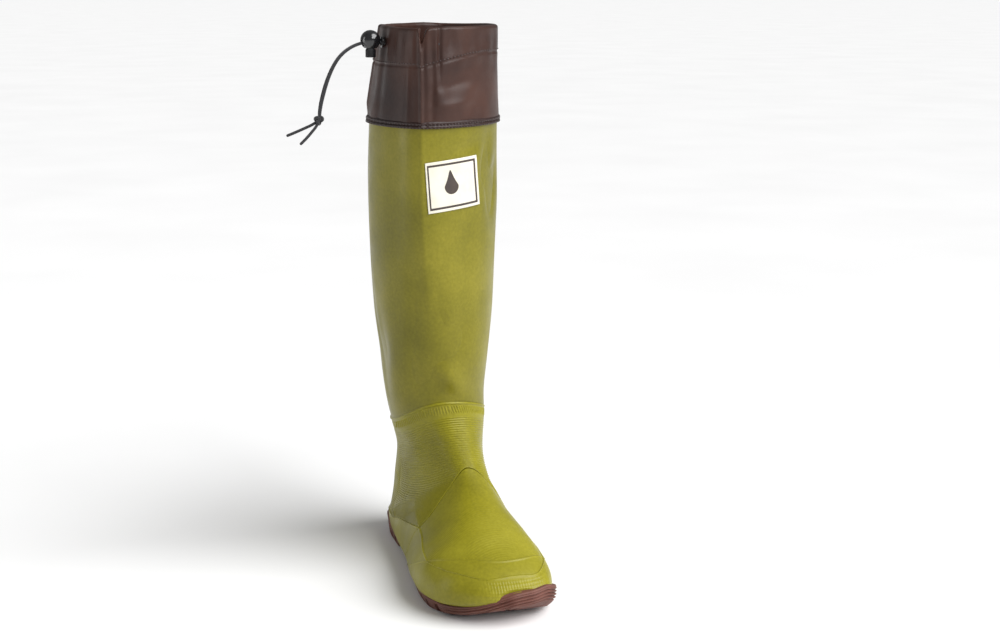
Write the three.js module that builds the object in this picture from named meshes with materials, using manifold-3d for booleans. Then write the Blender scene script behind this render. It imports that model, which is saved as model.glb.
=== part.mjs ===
// Packable rubber rain boot for the right foot, as an assembly of its real pieces.
// Millimetres, +Z up. The toe points along -Y, the outer (lateral) side of the foot is -X.
// The origin is on the ground, at the centre of the boot's footprint.
import * as THREE from 'three';
import Module from 'manifold-3d';
import { mergeVertices } from 'three/addons/utils/BufferGeometryUtils.js';

const wasm = await Module();
wasm.setup();

// ---------- driving dimensions ----------
const SOLE_LENGTH = 275;
const BOOT_HEIGHT = 450;
const CUFF_LOW = 366;
const GAP = 0.4;
const LAYER_GAP = 0.8;
const RUBBER = 1.8;
const LINING = 1.0;
const FABRIC = 1.0;
const LINING_OUT = RUBBER + LAYER_GAP;
const LINING_IN = LINING_OUT + LINING;
const FOOT_LINING_OUT = LINING_OUT + 1;
const FOOT_LINING_IN = FOOT_LINING_OUT + LINING;
const FOOTBED_OUT = FOOT_LINING_IN + LAYER_GAP + 0.2;
const FOOTBED_THICK = 4;
const CENTRE_X = -2.3;
const RING_COLUMNS = 36;
const LEG_COLUMNS = 32;

// The boot's outer surface is a fan of rings. It runs down the leg, turns at the ankle and runs out to
// the toe. Each ring joins a point of the front profile to a point of the back and underside profile.
// Each row is one ring:
//   front and back, each as [distance forward of the heel's back, height]
//   half widths, as [lateral, medial]
//   waist: where the ring is widest, as a share of the way from front to back
//   round: section exponents of the front and back halves
//   centre: sideways shift at the front and at the back
//   twist: the leg's turn about its own axis, in degrees
//   lens: how far the section narrows to a crease at the front and back
const STATIONS = [
  [[153, 450], [9, 450], [39, 53.5], 0.5, [2, 2], [-3, -3], 22, 0.45],
  [[154, 366], [8, 366], [52, 54], 0.5, [2, 2], [-3, -3], 22, 0.45],
  [[153, 318], [8, 318], [53.5, 54], 0.5, [2, 2], [-3, -3], 22, 0.42],
  [[150, 270], [10, 268], [52.5, 52.5], 0.5, [2, 2], [-3, -3], 21, 0.38],
  [[145, 220], [13, 215], [50, 50.5], 0.5, [2, 2], [-3, -3], 18, 0.3],
  [[139, 180], [18, 172], [44.5, 46.5], 0.5, [2.2, 2.2], [-3, -3], 12, 0.2],
  [[134, 150], [22, 136], [41.8, 42.5], 0.52, [2.1, 2.1], [-2, -2], 6, 0.1],
  [[134, 127], [19, 105], [36, 40], 0.54, [2.1, 2.1], [0, 0], 2, 0],
  [[140, 108], [12, 76], [30, 36], 0.58, [2.1, 2.2], [2, 2], 0, 0],
  [[149, 96], [6, 42], [29.5, 35], 0.62, [2.1, 3], [4, 2], 0, 0],
  [[160, 87], [5, 13.5], [33, 37], 0.68, [2.1, 3.6], [5, 2], 0, 0],
  [[173, 80], [38, 8.5], [40, 39.5], 0.72, [2.1, 4], [5, 3], 0, 0],
  [[186, 74], [85, 9], [44.5, 40], 0.76, [2.1, 4.2], [5, 3], 0, 0],
  [[198, 69], [128, 9.5], [49, 42], 0.78, [2.1, 4.2], [5, 4], 0, 0],
  [[210, 64], [168, 8], [55.5, 44], 0.78, [2.1, 4.2], [5, 5], 0, 0],
  [[223, 59], [202, 8], [58, 43.5], 0.76, [2.2, 4.2], [5, 5], 0, 0],
  [[237, 52], [230, 9.5], [55, 41], 0.74, [2.2, 4], [6.5, 6.5], 0, 0],
  [[251, 45], [250, 12.5], [46.5, 35.5], 0.7, [2.3, 3.6], [7.5, 7.5], 0, 0],
  [[263, 37], [263, 16.5], [33, 28.5], 0.66, [2.3, 3], [8.5, 8.5], 0, 0],
  [[270, 31], [270, 20.5], [18, 18], 0.6, [2.2, 2.5], [9, 9], 0, 0],
  [[272.5, 28], [272.5, 23], [7, 7], 0.6, [2, 2], [9.5, 9.5], 0, 0],
];
const TOE_TIP = STATIONS.length - 1;
const TOE_RING = TOE_TIP - 1;

// Outsole. Each row is one cross section:
//   distance forward of the heel's back
//   half widths, lateral and medial, about a centre line
//   sideways shift of the centre line
//   height of the underside and of the top edge, and how much higher the top edge is on the medial side
//   inset of the tread inside the top edge
const SOLE_STATIONS = [
  [0, 6, 6, 3, 2, 17, 0, 1],
  [4, 19.5, 19, 3, 0, 17, 0, 1],
  [18, 32.5, 30.5, 3, 0, 17, 0, 1.5],
  [39, 36.5, 34.5, 3, 0, 16.5, 0, 1.5],
  [69, 37.5, 34.5, 3, 0, 14.5, 0, 1.5],
  [71, 37.5, 34.5, 3, 5, 14.4, 0, 1.5],
  [107, 39.5, 32, 3, 5, 12.5, 0, 1.5],
  [136, 43.5, 34, 3, 3, 12.5, 0, 2],
  [156, 49, 37.5, 4, 0, 12, 0, 2.5],
  [185, 53, 42, 4, 0, 11.5, 0, 3],
  [209, 54, 44, 5, 0.5, 11, 1.5, 3],
  [233, 48.5, 43.5, 6.5, 2, 11, 5, 3.5],
  [252, 38.5, 38, 8, 5, 14, 9, 6],
  [266, 26, 27, 10, 10, 20, 9, 7],
  [SOLE_LENGTH, 8, 10, 11, 15, 28, 2, 6],
];

// Seams, as the ring number where each one crosses the angle phi (radians from the front crease).
const COLUMN = THREE.MathUtils.degToRad(7);
const SEAM_SIDE = 9 * COLUMN;
const SIDE_LOW = 21 * COLUMN;
const VAMP_PEAK = 9.32;
const HEEL_BACK = 9.35;
const HEEL_JOIN = 12.4;
const panelTop = (phi) => 6.2 + (phi % (2 * Math.PI) < Math.PI ? 0.55 : 0.3) * Math.sin(phi) ** 2
  + 0.15 * (1 - Math.cos(phi));
const vampSeam = (phi) => VAMP_PEAK + 6.5 * Math.sin(phi) ** 2 - 3.4 * Math.sin(phi) ** 4;
const toeCapSeam = (phi) => 16.8 - (phi > 0 ? 2.4 : 1.35) * Math.sin(phi) ** 2;
const toeGuardSeam = (phi) => 17.8 - 5.7 * Math.sin(phi) ** 6;
const heelSeam = (phi) => {
  const share = (Math.PI - Math.abs(phi)) / (Math.PI - SEAM_SIDE);
  return HEEL_BACK + (HEEL_JOIN - HEEL_BACK) * share ** 2.6;
};
const guardRear = (phi) => {
  const past = Math.abs(phi) - SEAM_SIDE;
  return toeCapSeam(Math.sign(phi) * SEAM_SIDE) - 1.8 * Math.tanh(past / 0.6);
};
const heelFront = (phi) => HEEL_JOIN + 0.6 * smooth((Math.abs(phi) - SEAM_SIDE) / 0.5);
const heelUnder = (phi) => THREE.MathUtils.lerp(heelFront(phi), 10.9, smooth((Math.abs(phi) - 2.3) / 0.3));

// ---------- interpolation ----------
function smooth(x) {
  const s = THREE.MathUtils.clamp(x, 0, 1);
  return s * s * (3 - 2 * s);
}

// Cubic through the values, which never overshoots them.
function monotone(values, t) {
  const last = values.length - 1;
  const i = Math.min(Math.max(Math.floor(t), 0), last - 1);
  const slopeAt = (k) => {
    if (k === 0) return values[1] - values[0];
    if (k === last) return values[last] - values[last - 1];
    const before = values[k] - values[k - 1];
    const after = values[k + 1] - values[k];
    return before * after <= 0 ? 0 : (2 * before * after) / (before + after);
  };
  const u = t - i;
  const u2 = u * u;
  const u3 = u2 * u;
  return (2 * u3 - 3 * u2 + 1) * values[i] + (u3 - 2 * u2 + u) * slopeAt(i)
    + (3 * u2 - 2 * u3) * values[i + 1] + (u3 - u2) * slopeAt(i + 1);
}

const PROFILE = {
  frontAt: STATIONS.map(([front]) => front[0]),
  frontUp: STATIONS.map(([front]) => front[1]),
  backAt: STATIONS.map(([, back]) => back[0]),
  backUp: STATIONS.map(([, back]) => back[1]),
  lateral: STATIONS.map(([, , widths]) => widths[0]),
  medial: STATIONS.map(([, , widths]) => widths[1]),
  waist: STATIONS.map(([, , , waist]) => waist),
  roundFront: STATIONS.map(([, , , , round]) => round[0]),
  roundBack: STATIONS.map(([, , , , round]) => round[1]),
  centreFront: STATIONS.map(([, , , , , centre]) => centre[0]),
  centreBack: STATIONS.map(([, , , , , centre]) => centre[1]),
  twist: STATIONS.map((row) => row[6]),
  lens: STATIONS.map((row) => row[7]),
};

// ---------- the boot's surface ----------
function ringAt(t) {
  const ring = {};
  for (const key of Object.keys(PROFILE)) ring[key] = monotone(PROFILE[key], t);
  return ring;
}

// Turns a point given as sideways, forward of the heel's back, and up into the boot's own frame.
const place = (side, forward, up) => new THREE.Vector3(side - CENTRE_X, SOLE_LENGTH / 2 - forward, up);

function ringPoint(ring, phi) {
  const c = Math.cos(phi);
  const s = Math.sin(phi);
  const exponent = 2 / (c > 0 ? ring.roundFront : ring.roundBack);
  const along = Math.sign(c) * Math.abs(c) ** exponent;
  const across = Math.sign(s) * ((1 - ring.lens) * Math.abs(s) ** exponent + ring.lens * s * s);
  const q = c > 0 ? ring.waist * (1 - along) : ring.waist - (1 - ring.waist) * along;
  const middle = THREE.MathUtils.lerp(ring.frontAt, ring.backAt, ring.waist);
  const side = -across * (s > 0 ? ring.lateral : ring.medial);
  const ahead = THREE.MathUtils.lerp(ring.frontAt, ring.backAt, q) - middle;
  const centre = THREE.MathUtils.lerp(ring.centreFront, ring.centreBack, q);
  const turn = THREE.MathUtils.degToRad(ring.twist);
  return place(
    centre + side * Math.cos(turn) - ahead * Math.sin(turn),
    middle + ahead * Math.cos(turn) + side * Math.sin(turn),
    THREE.MathUtils.lerp(ring.frontUp, ring.backUp, q),
  );
}

const surface = (t, phi) => ringPoint(ringAt(t), phi);

// A point at a depth under the outer surface. Depth is measured along the surface's normal.
function skin(t, phi, depth) {
  const step = 0.02;
  const t0 = Math.max(t - step, 0);
  const t1 = Math.min(t + step, TOE_TIP);
  const downward = surface(t1, phi).sub(surface(t0, phi));
  const around = surface(t, phi + step).sub(surface(t, phi - step));
  const inward = downward.cross(around).normalize();
  return surface(t, phi).addScaledVector(inward, depth);
}

// ---------- mesh building ----------
function meshFrom(points, faces) {
  const geometry = new THREE.BufferGeometry();
  const positions = points.flatMap((p) => [p.x, p.y, p.z]);
  geometry.setAttribute('position', new THREE.Float32BufferAttribute(positions, 3));
  geometry.setIndex(faces.flat());
  return outward(geometry);
}

// Signed volume of a closed mesh, negative where its faces point in.
function volumeOf(geometry) {
  const at = geometry.attributes.position;
  const index = geometry.index.array;
  const [a, b, c] = [new THREE.Vector3(), new THREE.Vector3(), new THREE.Vector3()];
  let total = 0;
  for (let i = 0; i < index.length; i += 3) {
    a.fromBufferAttribute(at, index[i]);
    b.fromBufferAttribute(at, index[i + 1]);
    c.fromBufferAttribute(at, index[i + 2]);
    total += a.dot(b.cross(c)) / 6;
  }
  return total;
}

function outward(geometry) {
  if (volumeOf(geometry) < 0) {
    const index = geometry.index.array;
    for (let i = 0; i < index.length; i += 3) [index[i], index[i + 1]] = [index[i + 1], index[i]];
  }
  return geometry;
}

// A sheet with thickness. face(u, v, side) gives its outer (side 0) and inner (side 1) points.
function sheet(face, columns, rows, closed = false) {
  const points = [];
  const faces = [];
  const across = closed ? columns : columns + 1;
  const id = (side, i, j) => (side * across + (closed ? i % columns : i)) * (rows + 1) + j;
  for (const side of [0, 1]) {
    for (let i = 0; i < across; i++) {
      for (let j = 0; j <= rows; j++) points.push(face(i / columns, j / rows, side));
    }
  }
  const quad = (a, b, c, d) => faces.push([a, b, c], [a, c, d]);
  for (let i = 0; i < columns; i++) {
    for (let j = 0; j < rows; j++) {
      quad(id(0, i, j), id(0, i, j + 1), id(0, i + 1, j + 1), id(0, i + 1, j));
      quad(id(1, i, j), id(1, i + 1, j), id(1, i + 1, j + 1), id(1, i, j + 1));
    }
    quad(id(0, i, 0), id(0, i + 1, 0), id(1, i + 1, 0), id(1, i, 0));
    quad(id(0, i, rows), id(1, i, rows), id(1, i + 1, rows), id(0, i + 1, rows));
  }
  if (!closed) {
    for (let j = 0; j < rows; j++) {
      quad(id(0, 0, j), id(1, 0, j), id(1, 0, j + 1), id(0, 0, j + 1));
      quad(id(0, columns, j), id(0, columns, j + 1), id(1, columns, j + 1), id(1, columns, j));
    }
  }
  return meshFrom(points, faces);
}

// A closed band round the leg or foot, between the rings top(phi) and low(phi).
function band(top, low, outer, inner, rows, columns = LEG_COLUMNS) {
  const face = (u, v, side) => {
    const phi = u * 2 * Math.PI;
    const t = THREE.MathUtils.lerp(top(phi), low(phi), v);
    return skin(t, phi, side === 0 ? outer : inner);
  };
  return sheet(face, columns, rows, true);
}

// An open patch between two angles and two seams.
function patch(from, to, top, low, outer, inner, columns, rows) {
  const face = (u, v, side) => {
    const phi = THREE.MathUtils.lerp(from, to, u);
    const t = THREE.MathUtils.lerp(top(phi), low(phi), v);
    return skin(t, phi, side === 0 ? outer : inner);
  };
  return sheet(face, columns, rows);
}

// Rings of points joined into a tube with a flat end at each end.
function loft(rings) {
  const points = rings.flat();
  const count = rings[0].length;
  const faces = [];
  for (let r = 0; r < rings.length - 1; r++) {
    for (let i = 0; i < count; i++) {
      const j = (i + 1) % count;
      const a = r * count;
      const b = a + count;
      faces.push([a + i, a + j, b + j], [a + i, b + j, b + i]);
    }
  }
  const close = (start, flip) => {
    const middle = points.length;
    const ends = points.slice(start, start + count);
    points.push(ends.reduce((sum, p) => sum.add(p), new THREE.Vector3()).divideScalar(count));
    for (let i = 0; i < count; i++) {
      const j = (i + 1) % count;
      faces.push(flip ? [middle, start + j, start + i] : [middle, start + i, start + j]);
    }
  };
  close(0, true);
  close((rings.length - 1) * count, false);
  return meshFrom(points, faces);
}

// The space inside the surface at a depth, as a solid from ring t0 to ring t1.
function envelope(depth, t0, t1, rows, columns) {
  const rings = [];
  for (let r = 0; r <= rows; r++) {
    const t = THREE.MathUtils.lerp(t0, t1, r / rows);
    const ring = [];
    for (let i = 0; i < columns; i++) ring.push(skin(t, (i / columns) * 2 * Math.PI, depth));
    rings.push(ring);
  }
  return loft(rings);
}

// ---------- cutting and joining ----------
function toSolid(geometry) {
  const plain = geometry.clone();
  plain.deleteAttribute('normal');
  plain.deleteAttribute('uv');
  const merged = mergeVertices(plain, 1e-4);
  return new wasm.Manifold(new wasm.Mesh({
    numProp: 3,
    vertProperties: new Float32Array(merged.attributes.position.array),
    triVerts: new Uint32Array(merged.index.array),
  }));
}

function toGeometry(solid) {
  const mesh = solid.getMesh();
  const geometry = new THREE.BufferGeometry();
  geometry.setAttribute('position', new THREE.BufferAttribute(new Float32Array(mesh.vertProperties), 3));
  geometry.setIndex(new THREE.BufferAttribute(new Uint32Array(mesh.triVerts), 1));
  return geometry;
}

function cut(body, ...tools) {
  return toGeometry(tools.reduce((left, tool) => left.subtract(toSolid(tool)), toSolid(body)));
}

const keep = (body, tool) => toGeometry(toSolid(body).intersect(toSolid(tool)));

// ---------- assembly ----------
const boot = new THREE.Group();

function add(name, geometry, colour, roughness, group = boot) {
  const material = new THREE.MeshStandardMaterial({ color: colour, roughness, metalness: 0 });
  const mesh = new THREE.Mesh(geometry, material);
  mesh.name = name;
  group.add(mesh);
  return mesh;
}

const OLIVE = 0x9d9a3e;
const OLIVE_DARK = 0x86843a;
const GUM = 0x7a4a3c;
const BROWN = 0x4a322c;
const COTTON = 0xb9b29a;
const CREAM = 0xf4efe0;
const INK = 0x3c322e;
const BLACK = 0x1b1b1c;

// ---------- outsole, insole board and footbed ----------
function soleSection(at) {
  const next = Math.max(SOLE_STATIONS.findIndex((row) => row[0] >= at), 1);
  const from = SOLE_STATIONS[next - 1][0];
  const t = next - 1 + (at - from) / (SOLE_STATIONS[next][0] - from);
  return SOLE_STATIONS[0].map((_, k) => monotone(SOLE_STATIONS.map((row) => row[k]), t));
}

// One cross ring of the outsole: across the tread, up the medial wall, back over the top.
function soleRing(at) {
  const [, lateral, medial, centre, low, top, rise, inset] = soleSection(at);
  const steps = 6;
  const ring = [];
  for (let i = 0; i <= steps; i++) {
    const side = THREE.MathUtils.lerp(-lateral + inset, medial - inset, i / steps);
    ring.push(place(centre + side, at, low));
  }
  for (let i = 0; i <= steps; i++) {
    const side = THREE.MathUtils.lerp(medial, -lateral, i / steps);
    ring.push(place(centre + side, at, top + rise * (1 - i / steps)));
  }
  return ring;
}

const SOLE_CUTS = [
  0, 1.5, 4, 10, 18, 30, 48, 69, 71, 88, 107, 122, 136, 146, 156, 170, 185, 197, 209, 221, 233, 243, 252,
  259, 266, 271, SOLE_LENGTH,
];
const solePlan = loft(SOLE_CUTS.map(soleRing));
const SOLE_SEAT = -0.7;
const footSpace = envelope(SOLE_SEAT, 8, TOE_TIP, 60, RING_COLUMNS);
add('outsole', cut(solePlan, footSpace), GUM, 0.75);

const BOARD_EDGE = THREE.MathUtils.degToRad(153);
const boardTop = () => 11.3;
const boardToe = () => 18.4;
const board = patch(BOARD_EDGE, 2 * Math.PI - BOARD_EDGE, boardTop, boardToe, 0, RUBBER, 6, 12);
add('insole_board', board, COTTON, 0.9);

// The footbed fills the bottom of the lined foot, up to a plane that follows the underside.
function footbedTool() {
  const rise = FOOTBED_OUT + FOOTBED_THICK;
  const line = [[24, 9], [85, 9], [128, 9.5], [168, 8], [202, 8], [230, 9.5], [262, 16.5]];
  const side = new THREE.Shape();
  side.moveTo(line[0][0], 0);
  for (const [at, up] of line) side.lineTo(at, up + rise);
  side.lineTo(line[line.length - 1][0], 0);
  side.closePath();
  const width = 140;
  const block = new THREE.ExtrudeGeometry(side, { depth: width, bevelEnabled: false });
  const toBoot = new THREE.Matrix4().makeBasis(
    new THREE.Vector3(0, -1, 0),
    new THREE.Vector3(0, 0, 1),
    new THREE.Vector3(1, 0, 0),
  );
  block.applyMatrix4(toBoot.setPosition(-width / 2, SOLE_LENGTH / 2, 0));
  return outward(mergeVertices(stripped(block), 1e-4));
}

function stripped(geometry) {
  geometry.deleteAttribute('normal');
  geometry.deleteAttribute('uv');
  return geometry;
}

const linedSpace = envelope(FOOTBED_OUT, 9, 18, 16, RING_COLUMNS);
add('footbed', keep(linedSpace, footbedTool()), COTTON, 0.9);

// ---------- rubber of the foot ----------
const seamGap = 0.035;
const vampLow = (phi) => toeCapSeam(phi) - seamGap;
add('vamp', patch(-SEAM_SIDE, SEAM_SIDE, vampSeam, vampLow, 0, RUBBER, 18, 10), OLIVE, 0.45);

// The toe guard wraps the toe: its sides run back below the toe cap to the side foxing.
function guardStart(phi) {
  if (Math.abs(phi) > SEAM_SIDE + 0.01) return guardRear(phi);
  return Math.max(toeGuardSeam(phi), toeCapSeam(phi) + seamGap);
}

const guardEnd = () => TOE_TIP - 0.2;
add('toe_guard', patch(-SIDE_LOW, SIDE_LOW, guardStart, guardEnd, 0, RUBBER, 42, 9), OLIVE, 0.5);

const CAP_MEDIAL = -7 * COLUMN;
const CAP_LATERAL = 8 * COLUMN;
const capLow = (phi) => guardStart(phi) - 2 * seamGap;
add('toe_cap', patch(CAP_MEDIAL, CAP_LATERAL, toeCapSeam, capLow, 0, RUBBER, 15, 2), OLIVE, 0.45);

const foxingFrom = (phi) => heelFront(phi) + seamGap;
const foxingTo = (phi) => guardRear(phi) - 2 * seamGap;
for (const [name, side] of [['side_foxing_lateral', 1], ['side_foxing_medial', -1]]) {
  const near = side * (SEAM_SIDE + 0.02);
  add(name, patch(near, side * SIDE_LOW, foxingFrom, foxingTo, 0, RUBBER, 12, 3), OLIVE, 0.45);
}

const heelEdge = SEAM_SIDE + 0.03;
const heelLow = (phi) => heelUnder(Math.PI - Math.abs(phi - Math.PI)) - seamGap;
const heelTop = (phi) => heelSeam(Math.PI - Math.abs(phi - Math.PI)) + seamGap;
const heelWrap = patch(heelEdge, 2 * Math.PI - heelEdge, heelTop, heelLow, 0, RUBBER, 33, 9);
add('heel_foxing', heelWrap, OLIVE, 0.45);

const panelLow = (phi) => {
  const wrapped = Math.abs(phi > Math.PI ? phi - 2 * Math.PI : phi);
  const seam = wrapped < SEAM_SIDE ? vampSeam(wrapped) : Math.min(heelSeam(wrapped), vampSeam(SEAM_SIDE));
  return seam - 1.5 * seamGap;
};
add('ankle_panel', band(panelTop, panelLow, 0, RUBBER, 6), OLIVE_DARK, 0.55);

// ---------- leg ----------
const SHAFT_TOP = 0.8;
const shaftTop = () => SHAFT_TOP;
add('shaft', band(shaftTop, (phi) => panelTop(phi) - seamGap, 0, RUBBER, 7), OLIVE, 0.35);

// ---------- lining ----------
const LINING_SPLIT = 9.32;
const LINING_LEG = 6.1;
add('shaft_lining', band(shaftTop, () => LINING_LEG, LINING_OUT, LINING_IN, 7), COTTON, 0.9);
const ankleFrom = () => LINING_LEG + seamGap;
add('ankle_lining', band(ankleFrom, () => LINING_SPLIT, LINING_OUT, LINING_IN, 5), COTTON, 0.9);

function footLining() {
  const outer = envelope(FOOT_LINING_OUT, LINING_SPLIT + seamGap, TOE_RING - 0.5, 19, RING_COLUMNS);
  const inner = envelope(FOOT_LINING_IN, LINING_SPLIT + seamGap - 0.3, TOE_RING - 0.75, 19, RING_COLUMNS);
  return cut(outer, inner);
}
add('foot_lining', footLining(), COTTON, 0.9);

// ---------- cuff ----------
const WRAP_OUT = -GAP;
const CUFF_OUT = WRAP_OUT - FABRIC;
const CUFF_RING = 0.85;
const CHANNEL_DEPTH = 3.4;
const HEM_IN = CHANNEL_DEPTH + FABRIC;

// A closed ring with the profile's section: each entry is a ring number and a depth.
function hoop(profile, columns) {
  const points = [];
  const faces = [];
  for (let i = 0; i < columns; i++) {
    for (const [t, depth] of profile) points.push(skin(t, (i / columns) * 2 * Math.PI, depth));
  }
  const count = profile.length;
  for (let i = 0; i < columns; i++) {
    for (let j = 0; j < count; j++) {
      const a = i * count;
      const b = ((i + 1) % columns) * count;
      const k = (j + 1) % count;
      faces.push([a + j, a + k, b + k], [a + j, b + k, b + j]);
    }
  }
  return meshFrom(points, faces);
}

// Fabric folded over at the rim, so that its hem makes a channel for the drawcord.
const CUFF_PROFILE = [
  [CUFF_RING, CUFF_OUT], [0.5, CUFF_OUT], [0.06, CUFF_OUT], [0.01, CUFF_OUT + 0.5],
  [0, 0.4], [0, CHANNEL_DEPTH - 0.6], [0.01, HEM_IN - 0.4], [0.06, HEM_IN], [0.34, HEM_IN],
  [0.34, CHANNEL_DEPTH], [0.06, CHANNEL_DEPTH], [0.035, 1.5],
  [0.06, WRAP_OUT], [0.5, WRAP_OUT], [CUFF_RING, WRAP_OUT],
];
const cuffBlank = hoop(CUFF_PROFILE, LEG_COLUMNS);

const BINDING_TOP = CUFF_RING + 0.012;
const BINDING_LOW = BINDING_TOP + 0.058;
const binding = band(() => BINDING_TOP, () => BINDING_LOW, CUFF_OUT - 0.5, WRAP_OUT, 1);
add('cuff_binding', binding, BROWN, 0.7);

// ---------- label ----------
const LABEL_FROM = THREE.MathUtils.degToRad(-54);
const LABEL_TO = THREE.MathUtils.degToRad(-4);
const LABEL_LEAN = THREE.MathUtils.degToRad(3.5);
const LABEL_TOP = 1.33;
const LABEL_LOW = 2.21;
const LABEL_TILT = 0.085;
const LABEL_THICK = 0.5;
const LABEL_OUT = -GAP - LABEL_THICK;
const PRINT_IN = LABEL_OUT - GAP;
const PRINT_OUT = PRINT_IN - 0.4;

// Ring and angle of a point given as shares across and down the label, which sits slightly askew.
function labelPlace(across, down) {
  return [
    THREE.MathUtils.lerp(LABEL_TOP, LABEL_LOW, down) + LABEL_TILT * across,
    THREE.MathUtils.lerp(LABEL_FROM, LABEL_TO, across) - LABEL_LEAN * down,
  ];
}

function labelLayer(margin, outer, inner) {
  const inset = (x) => THREE.MathUtils.lerp(margin, 1 - margin, x);
  const face = (u, v, side) => skin(...labelPlace(inset(u), inset(v)), side === 0 ? outer : inner);
  return sheet(face, 8, 3);
}

add('label_patch', labelLayer(0, LABEL_OUT, -GAP), CREAM, 0.6);
const borderHole = labelLayer(0.1, PRINT_OUT - 1, PRINT_IN + 0.2);
add('label_border', cut(labelLayer(0.055, PRINT_OUT, PRINT_IN), borderHole), INK, 0.6);

// A plain raindrop: a round bowl under a point, cut from a layer that follows the label.
function raindrop() {
  const radius = 6.5;
  const tip = 9;
  const drop = new THREE.Shape();
  drop.moveTo(0, radius + tip);
  drop.quadraticCurveTo(radius * 0.35, radius * 1.1, radius, 0);
  drop.absarc(0, 0, radius, 0, Math.PI, true);
  drop.quadraticCurveTo(-radius * 0.35, radius * 1.1, 0, radius + tip);
  const reach = 12;
  const solid = new THREE.ExtrudeGeometry(drop, { depth: reach, bevelEnabled: false, curveSegments: 6 });
  const block = stripped(solid);
  const [t, phi] = labelPlace(0.5, 0.56);
  const centre = skin(t, phi, reach / 2);
  const out = skin(t, phi, -reach).sub(centre).setZ(0).normalize();
  const right = new THREE.Vector3(0, 0, 1).cross(out);
  const turn = new THREE.Matrix4().makeBasis(right, new THREE.Vector3(0, 0, 1), out);
  block.applyMatrix4(turn.setPosition(centre));
  return keep(labelLayer(0.15, PRINT_OUT, PRINT_IN), outward(mergeVertices(block, 1e-4)));
}
add('label_motif', raindrop(), INK, 0.6);

// ---------- drawcord and cord lock ----------
const CORD = 2.4;
const CORD_SIDES = 8;
const CORD_UP = 437;
const LOCK_FORWARD = 103;
const STRAND_SPREAD = 1.35;
const LOCK_RADIUS = 8;
const LOCK_OFFSET = 10.2;

// The angle round the lateral side at which the rim lies a given distance forward.
function angleAt(forward, t) {
  let low = 0.3;
  let high = 2.6;
  for (let k = 0; k < 40; k++) {
    const middle = (low + high) / 2;
    if (SOLE_LENGTH / 2 - surface(t, middle).y > forward) low = middle;
    else high = middle;
  }
  return (low + high) / 2;
}

const CORD_RING = (BOOT_HEIGHT - CORD_UP) / (BOOT_HEIGHT - CUFF_LOW);
const LOCK_Y = SOLE_LENGTH / 2 - LOCK_FORWARD;
const cuffX = skin(CORD_RING, angleAt(LOCK_FORWARD, CORD_RING), CUFF_OUT).x;
const LOCK_X = cuffX - LOCK_OFFSET;

// Round cord along a smooth curve through the points.
function cordAlong(points, steps, diameter = CORD) {
  const section = new THREE.Shape();
  section.absarc(0, 0, diameter / 2, 0, 2 * Math.PI, false);
  const path = new THREE.CatmullRomCurve3(points, false, 'centripetal');
  const options = { steps, extrudePath: path, curveSegments: CORD_SIDES / 2 };
  const tube = new THREE.ExtrudeGeometry(section, options);
  return outward(mergeVertices(stripped(tube), 1e-4));
}

// Eyelet: a flange outside the cuff and a barrel through its wall, wide enough for both strands.
const BORE = STRAND_SPREAD + CORD / 2 + 0.25;
const BARREL = BORE + 0.5;
const FLANGE = BARREL + 1.2;
const FLANGE_STAND = 0.5;
const eyeletRing = new THREE.LatheGeometry([
  [BORE, -2.4], [BARREL, -2.4], [BARREL, 0.3], [FLANGE, 0.3], [FLANGE, 1], [BORE, 1], [BORE, -2.4],
].map(([r, h]) => new THREE.Vector2(r, h)), 16);
const eyelet = add('eyelet', outward(mergeVertices(stripped(eyeletRing), 1e-4)), BLACK, 0.4);
eyelet.position.set(cuffX - FLANGE_STAND, LOCK_Y, CORD_UP);
eyelet.rotation.z = Math.PI / 2;

const hole = new THREE.CylinderGeometry(BARREL + GAP, BARREL + GAP, 7, 16).rotateZ(Math.PI / 2);
add('cuff', cut(cuffBlank, hole.translate(cuffX, LOCK_Y, CORD_UP)), BROWN, 0.7);

// The cord inside the hem runs round the rim, from one side of the eyelet to the other.
const CORD_DEPTH = 1.6;
const eyeletAngle = angleAt(LOCK_FORWARD, CORD_RING);
const channelFrom = eyeletAngle + 0.14;
const channelTo = eyeletAngle - 0.14 + 2 * Math.PI;
const channelPoints = [];
for (let i = 0; i <= 40; i++) {
  const phi = THREE.MathUtils.lerp(channelFrom, channelTo, i / 40);
  channelPoints.push(skin(CORD_RING, phi, CORD_DEPTH));
}
add('drawcord_channel', cordAlong(channelPoints, 44), BLACK, 0.9);

// The free strands run side by side through the eyelet and the lock, bend down and end in one knot.
// Each point is x, then height, then the strand's distance from the lock's middle plane.
const STRAND = [
  [cuffX + 1.8, CORD_UP, STRAND_SPREAD],
  [LOCK_X + 6, CORD_UP, STRAND_SPREAD],
  [LOCK_X, CORD_UP, STRAND_SPREAD],
  [LOCK_X - 5.9, CORD_UP - 0.5, STRAND_SPREAD],
  [LOCK_X - 11.6, CORD_UP - 2.05, STRAND_SPREAD],
  [LOCK_X - 17, CORD_UP - 4.6, 1.4],
  [LOCK_X - 21.9, CORD_UP - 8, 1.5],
  [LOCK_X - 26.1, CORD_UP - 12.2, 1.5],
  [LOCK_X - 29.8, CORD_UP - 17.5, 1.6],
  [LOCK_X - 33.2, CORD_UP - 24, 1.9],
  [LOCK_X - 36.3, CORD_UP - 31.5, 2.3],
  [LOCK_X - 39, CORD_UP - 40, 2.4],
  [LOCK_X - 41.2, CORD_UP - 48.5, 2],
  [LOCK_X - 42.2, CORD_UP - 54.5, 1.5],
];
const KNOT = [LOCK_X - 43, CORD_UP - 60.5];
const KNOT_RADIUS = 4.6;

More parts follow.
